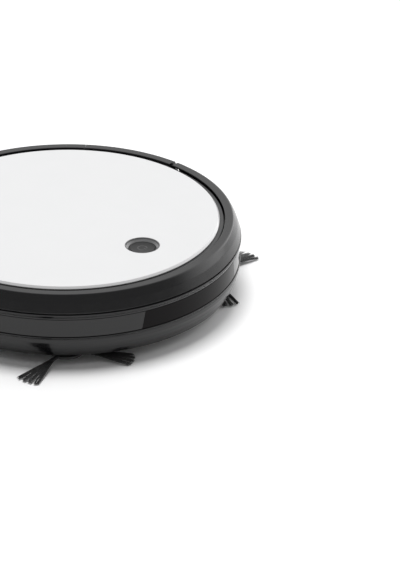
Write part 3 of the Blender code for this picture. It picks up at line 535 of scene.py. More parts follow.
def arc(middle, radius, start, end, steps):
    points = []
    for i in range(steps + 1):
        angle = radians(start + (end - start) * i / steps)
        points.append((middle[0] + radius * cos(angle), middle[1] + radius * sin(angle)))
    return points


def add_strand(bm, points, thick, thin, sides=4):
    """A tapered bristle along a few points."""
    rings = []
    last = len(points) - 1
    for i, point in enumerate(points):
        along = points[min(i + 1, last)] - points[max(i - 1, 0)]
        side = along.cross(Vector((0.0, 0.0, 1.0)))
        if side.length < 1e-6:
            side = along.cross(Vector((1.0, 0.0, 0.0)))
        side.normalize()
        up = side.cross(along).normalized()
        radius = thick + (thin - thick) * i / last
        ring = []
        for k in range(sides):
            a = 2 * pi * k / sides
            ring.append(bm.verts.new(point + (side * cos(a) + up * sin(a)) * radius))
        rings.append(ring)
    join_rings(bm, rings)


# ---- outer shells ----


def outer_ring():
    """Bumper, fixed side walls and dust bin wall: one outline, divided round the body."""
    recess = [(161.5, 53.55, 0.1), (161.5, 35.35, 0.1)]
    bumper = rounded(RING_UPPER + recess + RING_LOWER + RING_INSIDE + [(RING_INNER, 75.3, 0.3)])
    bm = fresh(add_sector, bumper, -BUMPER_END, BUMPER_END)
    shell = piece(bm, "bumper_ring", "bumper", "gloss_black", node="bumper_shell")
    cut(shell, fresh(add_sector, WALL_PORT, -20, 20, 4), "window_hole")
    soften(shell, 0.7, 62.0, 3)

    wall = RING_UPPER + [(BAND_RADIUS, BAND_TOP, 0.0), (BAND_RADIUS, BAND_LOW, 0.0)]
    upper = [(146.0, 74.9, 0.0), (RING_INNER, 74.9, 0.0)] + wall
    upper += [(163.0, 35.45, 0.1), (163.8, 35.2, 0.2), (163.9, 34.8, 0.2)]
    upper += [(160.6, 34.8, 0.0), (160.6, 60.5, 0.0), (159.2, 67.5, 0.0)]
    upper += [(157.4, 72.2, 0.0), (146.0, 72.2, 0.0)]
    lower = [(163.9, 34.5, 0.15), (163.7, 33.9, 0.2)] + RING_LOWER[2:-1]
    lower += [(156.2, 13.2, 2.5), (151.0, UNDERSIDE + 0.6, 1.5), (145.0, UNDERSIDE + 0.4, 0.0)]
    lower += [(145.0, 12.2, 0.0), (151.0, 12.6, 0.0), (157.4, 22.0, 0.0)]
    lower += [(160.6, 33.0, 0.0), (160.6, 34.5, 0.0)]
    sides = (("left", SIDE_START, SIDE_END), ("right", 360 - SIDE_END, 360 - SIDE_START))
    for side, start, end in sides:
        bm = fresh(add_sector, rounded(upper), start, end)
        side_wall = piece(bm, side + "_upper_side_wall", "body", "gloss_black")
        if side == "left":
            cut(side_wall, fresh(add_sector, WALL_PORT, 98, 116, 2), "vent_hole")
        soften(side_wall, 0.6, 62.0, 3)
        bm = fresh(add_sector, rounded(lower), start, end)
        soften(piece(bm, side + "_lower_side_wall", "body", "satin_black"), 0.5, 62.0, 3)

    rear = wall + [(163.0, 35.45, 0.1)] + RING_LOWER + [(153.0, 12.9, 0.8), (145.4, 12.9, 0.3)]
    rear += [(145.4, 15.2, 0.2), (151.8, 15.4, 0.0)] + RING_INSIDE[1:] + [(RING_INNER, 75.3, 0.3)]
    bm = fresh(add_sector, rounded(rear), SIDE_END + 0.15, 360 - SIDE_END - 0.15)
    bin_wall = piece(bm, "bin_wall", "bin", "gloss_black", node="dustbin_rear_wall")
    cut(bin_wall, fresh(add_box, (-15.3, 150.0, 38.0), (15.3, 172.0, 51.0)), "release_hole")
    soften(bin_wall, 0.6, 62.0, 3)


def band_strip(name, angle_at, finish, node):
    """A curved strip in the ring's recess. angle_at gives its two end angles at a height."""
    rows, columns = 8, 60
    bm = bmesh.new()
    grid = []
    for i in range(rows + 1):
        z = BAND_LOW + (BAND_TOP - BAND_LOW) * i / rows
        start, end = angle_at(z)
        line = []
        for k in range(columns + 1):
            x, y = polar(start + (end - start) * k / columns, BAND_RADIUS)
            line.append(bm.verts.new((x, y, z)))
        grid.append(line)
    for low, high in zip(grid, grid[1:]):
        for k in range(columns):
            bm.faces.new((low[k], low[k + 1], high[k + 1], high[k]))
    obj = piece(bm, name, "bumper", finish, node)
    thick = obj.modifiers.new("Thickness", "SOLIDIFY")
    thick.thickness = 1.2 * MM
    thick.offset = -1.0
    apply_modifiers(obj)
    return soften(obj, 0.3, 50.0, 3)


def bumper_bands():
    def window_edge(z):
        t = (z - BAND_LOW) / (BAND_TOP - BAND_LOW)
        return WINDOW_LOW_ANGLE + (WINDOW_TOP_ANGLE - WINDOW_LOW_ANGLE) * t

    end, seam = BUMPER_END - 0.3, 0.08

    def left(z):
        return window_edge(z) + seam, end

    def middle(z):
        return -window_edge(z), window_edge(z)

    def right(z):
        return -end, -window_edge(z) - seam

    band_strip("left_band", left, "band_black", "left_bumper_band")
    band_strip("right_band", right, "band_black", "right_bumper_band")
    band_strip("infrared_window", middle, "window_black", "sensor_window")


def deck_and_cover():
    wall = 2.5
    profile = rounded(
        [
            (0.0, DECK_TOP),
            (DECK_RADIUS, DECK_TOP, 0.4),
            (DECK_RADIUS, DECK_TOP - 2.0, 0.3),
            (CORE_RADIUS, 72.0, 0.3),
            (CORE_RADIUS, 40.3, 0.3),
            (CORE_RADIUS - wall, 40.3, 0.3),
            (CORE_RADIUS - wall, 72.0, 0.0),
            (0.0, 72.0),
        ]
    )
    bm = fresh(add_turned, profile, steps=160)
    deck = piece(bm, "deck", "body", "satin_black", "upper_housing")
    bm = fresh(add_rod, (*BUTTON_AT, 60.0), (*BUTTON_AT, 90.0), BEZEL_RADIUS + 0.6, sides=64)
    cut(deck, bm, "deck_hole")
    cut(deck, fresh(add_box, (*BIN_WAY_LOW, 30.0), (*BIN_WAY_HIGH, 71.9)), "bin_way")
    port = [(140, 38), (150, 38), (150, 51), (140, 51)]
    cut(deck, fresh(add_sector, port, 98, 116, 3), "air_way")
    soften(deck, 0.3, 55.0, 2)

    profile = rounded(
        [
            (0.0, COVER_TOP),
            (COVER_RADIUS - 1.7, COVER_TOP, 0.5),
            (COVER_RADIUS, COVER_TOP - 1.9, 0.4),
            (COVER_RADIUS, COVER_LOW, 0.2),
            (0.0, COVER_LOW),
        ]
    )
    bm = fresh(add_turned, profile, steps=240)
    cover = piece(bm, "white_cover", "body", "gloss_white", node="top_cover")
    bm = fresh(add_rod, (*BUTTON_AT, 60.0), (*BUTTON_AT, 90.0), BEZEL_RADIUS + 0.2, sides=96)
    cut(cover, bm, "cover_hole")
    soften(cover, 0.25, 55.0, 2)


def top_button():
    at = (*BUTTON_AT, 0.0)
    outer, inner = BEZEL_RADIUS, BUTTON_RADIUS + 0.35
    profile = rounded(
        [
            (outer, COVER_TOP - 0.05, 0.15),
            (outer, 72.5, 0.2),
            (inner, 72.5, 0.2),
            (inner, 75.2, 0.3),
            (outer - 0.9, 76.6, 0.3),
            (outer - 0.5, COVER_TOP - 0.05, 0.15),
        ]
    )
    bm = fresh(add_turned, profile, at, steps=96, closed=True)
    piece(bm, "bezel", "body", "bezel_grey", "button_bezel")

    dish = 0.35
    profile = [(0.0, BUTTON_TOP - dish)]
    for i in range(1, 12):
        r = (BUTTON_RADIUS - 1.2) * i / 11
        profile.append((r, BUTTON_TOP - dish + dish * (r / (BUTTON_RADIUS - 1.2)) ** 2))
    profile += rounded([(BUTTON_RADIUS, BUTTON_TOP, 0.5), (BUTTON_RADIUS, 72.0, 0.2), (4.0, 70.5, 0.5)])
    profile += [(3.0, 62.0), (0.0, 62.0)]
    bm = fresh(add_turned, profile, at, steps=96)
    piece(bm, "button_cap", "button", "button_grey", "power_button")

    # A plain power sign, raised a hair above the dished cap
    bm = bmesh.new()
    ring, width, rise = 4.3, 0.35, 0.07
    low = BUTTON_TOP - dish + dish * (ring / (BUTTON_RADIUS - 1.2)) ** 2 - 0.05
    gap = 35.0
    turn = Matrix.Translation(at)
    steps = 48
    start, end = 90 + gap, 450 - gap
    quads = []
    inner, outer, high = ring - width, ring + width, low + rise
    section = [(inner, low), (inner, high), (outer, high), (outer, low)]
    for i in range(steps + 1):
        a = radians(start + (end - start) * i / steps)
        corner = []
        for r, z in section:
            corner.append(bm.verts.new(turn @ Vector((r * cos(a), -r * sin(a), z))))
        quads.append(corner)
    join_rings(bm, quads)
    x, y = BUTTON_AT
    add_box(bm, (x - width, y - 5.0, low - 0.05), (x + width, y - 1.4, low + rise))
    piece(bm, "button_sign", "button", "icon_grey")


# ---- underside ----

SCREWS = [(-70, -121), (70, -121), (-134, -42), (134, -42), (-95, 76), (95, 76)]
SCREWS += [(-50, 100), (50, 100), (0, -22), (0, 128), (-89, 58), (89, 58)]
SENSOR_ANGLES = (-62.0, -20.0, 20.0, 62.0)
SENSOR_RADIUS = 135.0


def add_round_rect(bm, low, high, radius, bottom, top, turn=0.0):
    """A box with rounded upright edges."""
    points = []
    (x0, y0), (x1, y1) = low, high
    for x, y, first in ((x1, y1, 0), (x0, y1, 90), (x0, y0, 180), (x1, y0, 270)):
        cx = x - radius if x == x1 else x + radius
        cy = y - radius if y == y1 else y + radius
        points += arc((cx, cy), radius, first, first + 90, 6)
    spin = Matrix.Rotation(radians(turn), 4, "Z")
    lower = [bm.verts.new(spin @ Vector((x, y, bottom))) for x, y in points]
    upper = [bm.verts.new(spin @ Vector((x, y, top))) for x, y in points]
    join_rings(bm, [lower, upper])


def chassis():
    wall = 2.5
    rim = CORE_RADIUS - 4.0
    profile = rounded(
        [
            (0.0, 12.5),
            (CORE_RADIUS - wall, 12.5, 0.5),
            (CORE_RADIUS - wall, 40.0, 0.3),
            (CORE_RADIUS, 40.0, 0.3),
            (CORE_RADIUS, UNDERSIDE + 4.0, 1.5),
            (rim, UNDERSIDE, 1.5),
            (0.0, UNDERSIDE),
        ]
    )
    bm = fresh(add_turned, profile, steps=144)
    tray = piece(bm, "chassis", "body", "matt_black", "base_chassis")

    bm = bmesh.new()
    for side in (-1, 1):
        xs = span(side, 85.3, 128.0)
        add_round_rect(bm, (xs[0], -37.0), (xs[1], 37.0), 5.0, 0.0, 20.0)
    add_round_rect(bm, (-82.5, 11.0), (82.5, 63.0), 1.0, 0.0, 20.0)
    add_round_rect(bm, (-45.3, -93.3), (45.3, -29.7), 3.3, 0.0, 20.0)
    add_round_rect(bm, (-74.8, -65.2), (-57.2, -54.8), 1.0, 0.0, 20.0)
    add_box(bm, (*BIN_WAY_LOW, 12.6), (*BIN_WAY_HIGH, 60.0))
    cut(tray, bm, "floor_openings")
    bm = bmesh.new()
    for angle in SENSOR_ANGLES:
        add_round_rect(bm, (-8, -SENSOR_RADIUS - 4), (8, -SENSOR_RADIUS + 4), 1.5, 0.0, 20.0, angle)
    add_rod(bm, (*CASTER_AT, 0), (*CASTER_AT, 20), 18.0, sides=64)
    for side in (-1, 1):
        middle = (side * SIDE_BRUSH_AT.x, SIDE_BRUSH_AT.y)
        add_rod(bm, (*middle, 0), (*middle, 20), 4.2, sides=32)
    for x, y in SCREWS:
        add_rod(bm, (x, y, 5.0), (x, y, UNDERSIDE + 1.6), 3.9, sides=28)
    cut(tray, bm, "floor_bores")

    # Shallow sunk rings round the side brushes, and rows of slits
    bm = bmesh.new()
    sink = UNDERSIDE + 0.6
    for side in (-1, 1):
        middle = (side * SIDE_BRUSH_AT.x, SIDE_BRUSH_AT.y, 0.0)
        groove = [(17.0, 5.0), (19.0, 5.0), (19.0, sink), (17.0, sink)]
        add_turned(bm, groove, middle, closed=True)
        xs = span(side, 46.0, 82.0)
        for k in range(5):
            add_box(bm, (xs[0] + 4, -2.0 - 5.0 * k, 5.0), (xs[1] - 4, -0.4 - 5.0 * k, sink))
    for k in range(7):
        inner, outer = 133.5 - 7 * k, 135.0 - 7 * k
        slit = [(inner, 5.0), (outer, 5.0), (outer, sink), (inner, sink)]
        add_sector(bm, slit, 162, 172, 2)
        add_sector(bm, slit, 188, 198, 2)
    cut(tray, bm, "floor_relief")
    soften(tray, 0.35, 50.0, 2)

    for name, side in (("left", 1), ("right", -1)):
        xs = span(side, 103.4, 129.5)
        bm = fresh(add_box, (xs[0], -38.5, 12.6), (xs[1], 38.5, 71.0))
        well = piece(bm, name + "_wheel_well", "body", "matt_black")
        xs = span(side, 95.0, 128.0)
        bm = fresh(add_box, (xs[0], -37.0, 0.0), (xs[1], 37.0, 69.5))
        cut(well, bm, "well_space")
        soften(well, 0.4, 50.0, 2)
        bm = bmesh.new()
        for low, high in ((82.6, 85.0), (100.7, 103.1)):
            xs = span(side, low, high)
            add_box(bm, (xs[0], -57.0, 12.4), (xs[1], -43.0, 33.0))
        xs = span(side, 90.0, 96.0)
        add_box(bm, (xs[0], -66.0, 12.4), (xs[1], -62.0, 53.0))
        ears = piece(bm, name + "_arm_ears", "body", "matt_black")
        bm = fresh(add_rod, (side * 75.0, -50.0, 26.0), (side * 110.0, -50.0, 26.0), 3.3, sides=24)
        cut(ears, bm, "ear_bore")
        soften(ears, 0.3, 50.0, 2)


def add_screw(bm, x, y, low, radius=3.1):
    """A pan head with a cross recess, seen from below."""
    profile = [(0.0, low + 1.8), (radius, low + 1.8), (radius, low + 1.1), (radius * 0.86, low + 0.45)]
    profile += [(radius * 0.55, low + 0.1), (radius * 0.5, low)]
    slot, arm, deep = radius * 0.13, radius * 0.5, 0.9
    add_turned(bm, profile, (x, y, 0.0), steps=28)
    centre, near = Vector((x, y)), radius * 0.51
    rim = [v for v in bm.verts if abs(v.co.z - low) < 1e-6 and (v.co.xy - centre).length < near]
    cross = []
    for k in range(4):
        a = pi / 2 * k
        forward = Vector((cos(a), sin(a)))
        side = Vector((-forward.y, forward.x))
        tip = forward * arm * 0.98
        cross += [tip - side * slot, tip + side * slot, (forward + side) * slot]
    top = [bm.verts.new((x + c.x, y + c.y, low)) for c in cross]
    bottom = [bm.verts.new((x + c.x * 0.7, y + c.y * 0.7, low + deep)) for c in cross]
    count = len(cross)
    for k in range(count):
        bm.faces.new((top[k], top[(k + 1) % count], bottom[(k + 1) % count], bottom[k]))
    bm.faces.new(bottom)
    rim.sort(key=lambda v: atan2(v.co.y - y, v.co.x - x))
    edges = [bm.edges.get((rim[i - 1], rim[i])) for i in range(len(rim))]
    edges += [bm.edges.get((top[i - 1], top[i])) for i in range(count)]
    bmesh.ops.triangle_fill(bm, use_beauty=True, edges=[e for e in edges if e])


def brush_guard():
    """The frame over the suction mouth, with bars between its windows."""
    low, high = node_box("brush_guard")
    bm = fresh(add_box, low, high)
    guard = piece(bm, "brush_guard_finished", "guard", "satin_black", node="brush_guard")
    edges = [low.x + 4.0]
    for bar in GUARD_BARS:
        edges += [bar - 1.5, bar + 1.5]
    edges.append(high.x - 4.0)
    bm = bmesh.new()
    for first, last in zip(edges[::2], edges[1::2]):
        add_box(bm, (first, low.y + 6.0, low.z - 5.0), (last, high.y - 6.0, high.z + 5.0))
    cut(guard, bm, "guard_windows")
    soften(guard, 0.55)


def underside_fittings():
    bm = bmesh.new()
    for x, y in SCREWS:
        add_screw(bm, x, y, UNDERSIDE - 0.1)
    piece(bm, "chassis_screws", "body", "zinc", sharp=25.0)

    refined("battery_cover", "body", "matt_black", 0.5)
    brush_guard()
    refined("left_charging_contact", "body", "contact_metal", 0.25)
    refined("right_charging_contact", "body", "contact_metal", 0.25)
    for node in ("right_side", "right_front", "left_front", "left_side"):
        refined(node + "_cliff_sensor", "body", "window_black", 0.4)
    refined("power_rocker", "rocker", "satin_black", 0.5)
    refined("exhaust_grille", "body", "satin_black", 0.2)
    refined("bin_release_button", "bin_release", "satin_black", 0.8)
    refined("brush_housing", "body", "matt_black", 0.3)
    refined("brush_motor", "body", "grey_plastic", 0.6)
    refined("dustbin_tank", "bin", "smoke", 0.5)
    refined("dustbin_lid", "bin", "smoke", 0.5)
    refined("filter_frame", "bin", "pale_grey", 0.5)
    refined("dust_filter", "bin", "paper_white", 0.15)
    refined("battery_pack", "body", "wrap_blue", 2.0)


def drive_wheels():
    half = TREAD_HALF
    for name, side in (("left", 1), ("right", -1)):
        at = (side * WHEEL_X, 0.0, WHEEL_RADIUS)
        base = WHEEL_RADIUS - 1.4
        profile = rounded(
            [
                (base, half - 1.2, 0.6),
                (base, -half + 1.2, 0.6),
                (base - 1.0, -half, 0.5),
                (29.0, -half, 0.4),
                (29.0, half, 0.4),
                (base - 1.0, half, 0.5),
            ]
        )
        bm = fresh(add_turned, profile, at, "X", 96, closed=True)
        lugs = 44
        for i in range(lugs):
            a = 360.0 / lugs * i
            for row, (low, high, lead) in enumerate(((-half + 0.8, -0.7, 0.0), (0.7, half - 0.8, 0.5))):
                made = bmesh.ops.create_cube(bm, size=1.0)["verts"]
                size = Matrix.Diagonal((high - low, 2.7, 2.2, 1.0))
                slant = Matrix.Rotation(radians(14 if row else -14), 4, "Z")
                turn = Matrix.Rotation(radians(a + lead * 360.0 / lugs), 4, "X")
                local = Matrix.Translation(((low + high) / 2, 0.0, base + 0.25)) @ slant @ size
                bmesh.ops.transform(bm, matrix=Matrix.Translation(at) @ turn @ local, verts=made)
        piece(bm, name + "_tread", name + "_wheel", "rubber", node=name + "_tyre")

        rim, shaft = 28.7, 2.9
        turned_hub = [
            (0.0, 6.5), (7.5, 6.5, 0.6), (8.5, 9.0, 0.5), (10.5, 9.0, 0.5), (11.5, 7.0, 0.5),
            (24.5, 6.4, 0.8), (26.5, 10.3, 0.5), (rim, 10.3, 0.4), (rim, -10.5, 0.4),
            (26.0, -10.5, 0.4), (25.0, -4.0, 0.5), (6.0, -4.0, 0.5), (6.0, -14.0, 0.4),
            (shaft, -14.0, 0.2), (shaft, -30.0, 0.3), (0.0, -30.0),
        ]
        outline = [(r, side * h) for r, h in rounded(turned_hub)]
        bm = fresh(add_turned, outline, at, "X", 72)
        hub = piece(bm, name + "_rim", name + "_wheel", "grey_plastic", node=name + "_wheel_hub")
        bm = bmesh.new()
        for i in range(6):
            turn = Matrix.Rotation(radians(60 * i), 4, "X")
            lay = Matrix.Rotation(pi / 2, 4, "Y")
            where = Matrix.Translation(at) @ turn @ Matrix.Translation((side * 7.4, 0.0, 18.0)) @ lay
            bmesh.ops.create_cone(
                bm, cap_ends=True, segments=28, radius1=3.6, radius2=3.6, depth=3.0, matrix=where
            )
        cut(hub, bm, "rim_pockets")
        soften(hub, 0.3, 50.0, 2)
        refined(name + "_suspension_arm", name + "_arm", "grey_plastic", 0.5)
        x0, x1 = span(side, 52.0, 85.7)
        middle = ((x0 + x1) / 2, -21.0, 37.0)
        length = (x1 - x0) / 2
        can = [(0.0, length), (4.0, length, 0.3), (4.4, length - 1.2, 0.3), (10.8, length - 1.2, 0.8)]
        can += [(12.0, length - 2.6, 0.8), (12.0, -length, 0.5), (0.0, -length)]
        bm = fresh(add_turned, rounded(can), middle, "X", 48)
        piece(bm, name + "_motor_can", name + "_arm", "steel", node=name + "_wheel_motor")


def caster():
    profile = [(17.7, 34.0, 0.5), (17.7, 9.6, 0.8), (15.7, 9.6, 0.6), (15.7, 31.8, 0.3)]
    profile += [(0.0, 31.8), (0.0, 34.0)]
    bm = fresh(add_turned, rounded(profile)[::-1], (*CASTER_AT, 0.0), steps=72)
    piece(bm, "caster_cup", "body", "matt_black", node="caster_socket")

    profile = [(0.0, 31.3), (3.0, 31.3, 0.4), (3.0, 29.0, 0.2), (15.2, 29.0, 0.6), (15.2, 9.8, 0.8)]
    profile += [(12.8, 8.5, 0.8), (0.0, 8.5)]
    bm = fresh(add_turned, rounded(profile), (*CASTER_AT, 0.0), steps=72)
    fork = piece(bm, "caster_yoke", "caster", "grey_plastic", node="caster_fork")
    bm = bmesh.new()
    add_rod(bm, (-7.2, ROLLER_AT.y, ROLLER_AT.z), (7.2, ROLLER_AT.y, ROLLER_AT.z), 12.9, sides=64)
    cut(fork, bm, "yoke_slot_top")
    bm = bmesh.new()
    add_box(bm, (-7.2, ROLLER_AT.y - 12.9, 0.0), (7.2, ROLLER_AT.y + 12.9, ROLLER_AT.z + 0.2))
    cut(fork, bm, "yoke_slot_low")
    bm = bmesh.new()
    add_rod(bm, (-20, ROLLER_AT.y, ROLLER_AT.z), (20, ROLLER_AT.y, ROLLER_AT.z), 1.8, sides=24)
    cut(fork, bm, "yoke_bore")
    soften(fork, 0.4, 50.0, 2)

    radius, half = ROLLER_AT.z, 6.2
    profile = [
        (radius, 3.6, 1.0), (radius, 0.9, 0.2), (radius - 0.8, 0.6, 0.1),
        (radius - 0.8, -0.6, 0.1), (radius, -0.9, 0.2), (radius, -3.6, 1.0),
        (radius - 1.4, -half, 1.0), (8.4, -half, 0.4), (7.6, -half + 1.0, 0.4),
        (4.4, -half + 1.0, 0.4), (3.6, -half, 0.4), (1.8, -half, 0.3), (1.8, half, 0.3),
        (3.6, half, 0.4), (4.4, half - 1.0, 0.4), (7.6, half - 1.0, 0.4), (8.4, half, 0.4),
        (radius - 1.4, half, 1.0),
    ]
    bm = fresh(add_turned, rounded(profile), ROLLER_AT, "X", 72, closed=True)
    piece(bm, "caster_roller_wheel", "caster_roller", "pale_grey", node="caster_wheel")
    axle = [(0.0, 12.0), (1.5, 12.0, 0.3), (1.5, -12.0, 0.3), (0.0, -12.0)]
    bm = fresh(add_turned, rounded(axle), (0.0, ROLLER_AT.y, ROLLER_AT.z), "X", 32)
    piece(bm, "caster_pin", "caster", "steel", node="caster_axle")


def side_brush(name, side):
    x, y = side * SIDE_BRUSH_AT.x, SIDE_BRUSH_AT.y
    at = (x, y, 0.0)
    hub = [
        (8.6, 9.5, 0.4), (9.4, 8.9, 0.4), (13.0, 8.4, 0.8), (13.0, 6.2, 0.8), (9.6, 5.2, 0.8),
        (6.0, 5.2, 0.3), (5.4, 5.9, 0.3), (2.5, 5.9, 0.3), (2.5, 9.5, 0.3),
    ]
    bm = fresh(add_turned, rounded(hub), at, steps=64, closed=True)
    body = name + "_side_brush"
    piece(bm, name + "_brush_cap", body, "matt_black", node=name + "_side_brush_hub")

    collar_ring = [(15.6, 8.3, 0.5), (15.6, 6.0, 0.5), (13.25, 6.0, 0.3), (13.25, 8.3, 0.3)]
    bm = fresh(add_turned, rounded(collar_ring), at, closed=True)
    strands = bmesh.new()
    rng = random.Random(11 if side > 0 else 12)
    for i in range(3):
        angle = radians(SIDE_BRUSH_FIRST + 120 * i)
        if side < 0:
            angle = pi - angle
        along = Vector((cos(angle), sin(angle), 0.0))
        across = Vector((-along.y, along.x, 0.0))
        base = Vector((x, y, 7.1))
        add_clamp(bm, base + along * 14.6, base + along * 24.5 + Vector((0, 0, -0.3)), across)
        add_bundle(strands, base, along, across, rng)
    collar = piece(bm, name + "_brush_arms", body, "matt_black")
    soften(collar, 0.25, 55.0, 2)
    piece(strands, name + "_brush_bristles", body, "bristle", node=name + "_side_brush_bristles")

    bm = bmesh.new()
    add_screw(bm, x, y, 3.5, 4.3)
    add_turned(bm, [(0.0, 7.1), (1.5, 7.1), (1.5, 5.4), (0.0, 5.4)], at, steps=20)
    piece(bm, name + "_brush_screw", body, "zinc", node=name + "_side_brush_screw", sharp=25.0)


def add_clamp(bm, start, end, across):
    """A flat tapering rubber clamp that holds one bundle of bristles."""
    up = Vector((0.0, 0.0, 1.0))
    rings = []
    waist = start.lerp(end, 0.6)
    for point, width, height in ((start, 2.6, 1.5), (waist, 2.1, 1.3), (end, 2.4, 1.1)):
        ring = []
        for k in range(12):
            a = 2 * pi * k / 12
            ring.append(bm.verts.new(point + across * (width * cos(a)) + up * (height * sin(a))))
        rings.append(ring)
    join_rings(bm, rings)


def add_bundle(bm, base, along, across, rng):
    """Bristles packed at the clamp, then spread, drooping, and gathered in tufts at the tips."""
    count = 120
    tufts = 4
    shift = [rng.uniform(-0.06, 0.06) for _ in range(tufts)]
    for i in range(count):
        lane = (i + 0.5) / count * 2 - 1 + rng.uniform(-0.03, 0.03)
        tuft = min(tufts - 1, max(0, int((lane + 1) / 2 * tufts)))
        centre = (tuft + 0.5) / tufts * 2 - 1 + shift[tuft]
        gather = rng.uniform(0.3, 0.5)
        lift = rng.uniform(-1.0, 1.0)
        reach = SIDE_BRUSH_REACH * (1.0 - 0.05 * lane * lane - rng.uniform(0.0, 0.035))
        tip_half = 13.0 + rng.uniform(-0.6, 0.6)
        curl = rng.uniform(-0.5, 0.5)
        points = []
        for k in range(6):
            t = k / 5
            out = 22.0 + (reach - 22.0) * t
            drawn = lane + (centre - lane) * gather * t * t
            spread = drawn * (1.7 + (tip_half - 1.7) * t ** 1.1) + curl * t * t
            height = -0.4 - 5.0 * t ** 1.2 + lift * (0.75 - 0.35 * t)
            points.append(base + along * out + across * spread + Vector((0.0, 0.0, height)))
        add_strand(bm, points, 0.24, 0.16)


def main_brush():
    at = BRUSH_AT
    core = [(0.0, 84.1), (4.4, 84.1, 0.4), (4.4, 78.6, 0.2), (10.5, 78.6, 0.5), (10.5, 77.2, 0.5)]
    core += [(BRUSH_CORE, 77.0, 0.2), (BRUSH_CORE, -77.0, 0.2), (10.5, -77.2, 0.5), (10.5, -78.0, 0.4)]
    core += [(3.0, -78.0, 0.2), (3.0, -81.2, 0.3), (0.0, -81.2)]
    bm = fresh(add_turned, rounded(core), (0.0, at.y, at.z), "X", 48)
    piece(bm, "brush_roller", "brush", "satin_black", node="main_brush_core")

    edge = 3.0
    starts = [-BRUSH_HALF] + [bar + edge for bar in GUARD_BARS]
    ends = [bar - edge for bar in GUARD_BARS] + [BRUSH_HALF]
    tufts = bmesh.new()
    blades = bmesh.new()
    rng = random.Random(5)
    sweep = 84.0
    blade = ((BRUSH_CORE - 0.3, 5.5), (12.0, 3.2), (17.0, 2.2), (BRUSH_RADIUS - 0.6, 1.6))

    def place(x, angle, radius):
        a = radians(angle)
        return Vector((x, at.y + radius * sin(a), at.z + radius * cos(a)))

    def lead(x, first):
        """The row's angle at a place along the roller: it winds round as it goes."""
        return first + sweep * (x + BRUSH_HALF) / (2 * BRUSH_HALF)

    for low, high in zip(starts, ends):
        for first in (0.0, 180.0):
            spots = int((high - low) / 2.2)
            for i in range(spots + 1):
                x = low + (high - low) * i / spots
                for _ in range(16):
                    fan = rng.uniform(-5.0, 5.0)
                    tip_x = min(max(x + rng.uniform(-1.5, 1.5), low - 0.6), high + 0.6)
                    root = place(x + rng.uniform(-0.5, 0.5), lead(x, first) + fan * 0.3, BRUSH_CORE - 0.4)
                    tip = place(tip_x, lead(x, first) + fan, BRUSH_RADIUS - rng.uniform(0.0, 1.2))
                    middle = root.lerp(tip, 0.5)
                    add_strand(tufts, [root, middle, tip], 0.14, 0.09, 3)
        for first in (90.0, 270.0):
            steps = 8
            rings = []
            for i in range(steps + 1):
                x = low + (high - low) * i / steps
                ring = [place(x, lead(x, first) - half, radius) for radius, half in blade]
                ring += [place(x, lead(x, first) + half, radius) for radius, half in reversed(blade)]
                rings.append([blades.verts.new(p) for p in ring])
            join_rings(blades, rings)
    piece(tufts, "brush_tufts", "brush", "bristle", node="main_brush_bristles")
    piece(blades, "brush_blades", "brush", "blade_rubber")

    bearing = [(8.0, -78.5, 0.3), (8.0, -81.3, 0.3), (3.3, -81.3, 0.3), (3.3, -78.5, 0.3)]
    bm = fresh(add_turned, rounded(bearing), (0.0, at.y, at.z), "X", 48, closed=True)
    piece(bm, "brush_bearing", "body", "pale_grey", node="main_brush_bearing")


# ---- what stays from the frame ----

KEPT = {
    "sensor_board": "board_green",
    "mainboard": "board_green",
    "left_bumper_switch": "matt_black",
    "right_bumper_switch": "matt_black",
    "blower_housing": "matt_black",
    "blower_motor": "steel",
    "impeller": "pale_grey",
    "left_suspension_spring": "steel",
    "right_suspension_spring": "steel",
    "left_side_brush_motor": "matt_black",
    "right_side_brush_motor": "matt_black",
}


def kept_nodes():
    for node, finish in KEPT.items():
        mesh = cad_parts[node].data
        mesh.materials.clear()
        mesh.materials.append(FINISHES[finish])
        mesh.shade_smooth()
        mesh.set_sharp_from_angle(angle=radians(35))


# ---- studio ----

CAMERA_AZIMUTH = -50.0
CAMERA_HEIGHT_ANGLE = 26.704
CAMERA_DISTANCE = 8.0
CAMERA_LENS = 537.87
AIM_PAN = 1.01024
AIM_TILT = 0.461
TENT_GLOW = 0.33
SOFTBOX_SIZE = 1.0
SOFTBOX_HEIGHT = 2.2
SOFTBOX_POWER = 36.5
FLOOR_HALF = 6.0


def overhead_softbox():
    """A square light that faces straight down. It lights the set without showing in the gloss."""
    light = bpy.data.lights.new("overhead_softbox", "AREA")
    light.shape = "RECTANGLE"
    light.size = light.size_y = SOFTBOX_SIZE
    light.energy = SOFTBOX_POWER
    obj = bpy.data.objects.new("overhead_softbox", light)
    obj.location = (0.0, 0.0, SOFTBOX_HEIGHT)
    obj.visible_glossy = False
    bpy.context.scene.collection.objects.link(obj)


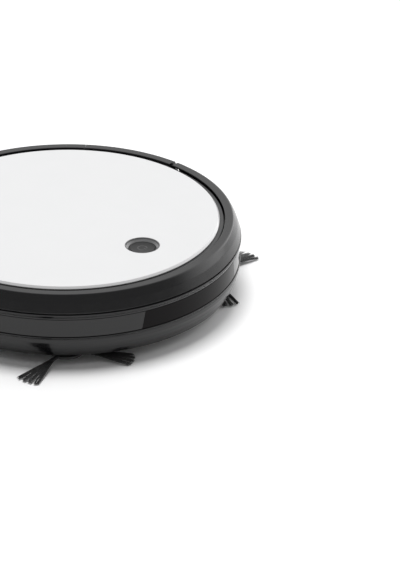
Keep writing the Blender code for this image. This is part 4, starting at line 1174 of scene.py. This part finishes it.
def studio_walls(away, right):
    """A dim tent, brighter behind the cleaner and brightest beyond its right-hand side."""
    world = bpy.data.worlds.new("studio")
    world.use_nodes = True
    nodes, links = world.node_tree.nodes, world.node_tree.links
    direction = nodes.new("ShaderNodeTexCoord").outputs["Generated"]
    total = None
    lobes = (
        (away, 0.1, 0.8, 0.65),
        (away * 0.6 + right * 0.8 + Vector((0.0, 0.0, 0.15)), 0.6, 0.95, 1.6),
        (away * 0.5 - right * 0.85, 0.5, 0.95, 0.5),
    )
    for towards, low, high, gain in lobes:
        dot = nodes.new("ShaderNodeVectorMath")
        dot.operation = "DOT_PRODUCT"
        dot.inputs[1].default_value = towards.normalized()
        links.new(direction, dot.inputs[0])
        lobe = nodes.new("ShaderNodeMapRange")
        lobe.interpolation_type = "SMOOTHSTEP"
        lobe.inputs["From Min"].default_value = low
        lobe.inputs["From Max"].default_value = high
        lobe.inputs["To Max"].default_value = gain
        links.new(dot.outputs["Value"], lobe.inputs["Value"])
        added = nodes.new("ShaderNodeMath")
        added.inputs[1].default_value = TENT_GLOW
        if total is not None:
            links.new(total, added.inputs[1])
        links.new(lobe.outputs["Result"], added.inputs[0])
        total = added.outputs["Value"]
    links.new(total, nodes["Background"].inputs["Strength"])
    nodes["Background"].inputs["Color"].default_value = (1.0, 1.0, 1.0, 1.0)
    bpy.context.scene.world = world


def studio():
    bm = bmesh.new()
    bmesh.ops.create_grid(bm, x_segments=2, y_segments=2, size=FLOOR_HALF)
    mesh = bpy.data.meshes.new("studio_floor")
    bm.to_mesh(mesh)
    bm.free()
    floor = bpy.data.objects.new("studio_floor", mesh)
    floor.data.materials.append(floor_finish())
    bpy.context.scene.collection.objects.link(floor)

    azimuth = radians(CAMERA_AZIMUTH)
    away = Vector((-sin(azimuth), cos(azimuth), 0.0))
    right = Vector((cos(azimuth), sin(azimuth), 0.0))
    studio_walls(away, right)
    overhead_softbox()
    bpy.context.scene.view_settings.view_transform = "Standard"

    rise = radians(CAMERA_HEIGHT_ANGLE)
    sight = Vector((sin(azimuth) * cos(rise), -cos(azimuth) * cos(rise), sin(rise)))
    camera = bpy.data.cameras.new("camera")
    camera.lens = CAMERA_LENS
    camera.sensor_width = 36.0
    camera.clip_end = 50.0
    obj = bpy.data.objects.new("camera", camera)
    obj.location = Vector((0.0, 0.0, COVER_TOP * MM)) + sight * CAMERA_DISTANCE
    heading = azimuth - radians(AIM_PAN)
    dip = rise + radians(AIM_TILT)
    forward = Vector((-sin(heading) * cos(dip), cos(heading) * cos(dip), -sin(dip)))
    obj.rotation_euler = forward.to_track_quat("-Z", "Y").to_euler()
    bpy.context.scene.collection.objects.link(obj)
    bpy.context.scene.camera = obj


studio()
outer_ring()
bumper_bands()
deck_and_cover()
top_button()
chassis()
underside_fittings()
drive_wheels()
caster()
side_brush("left", 1)
side_brush("right", -1)
main_brush()
kept_nodes()
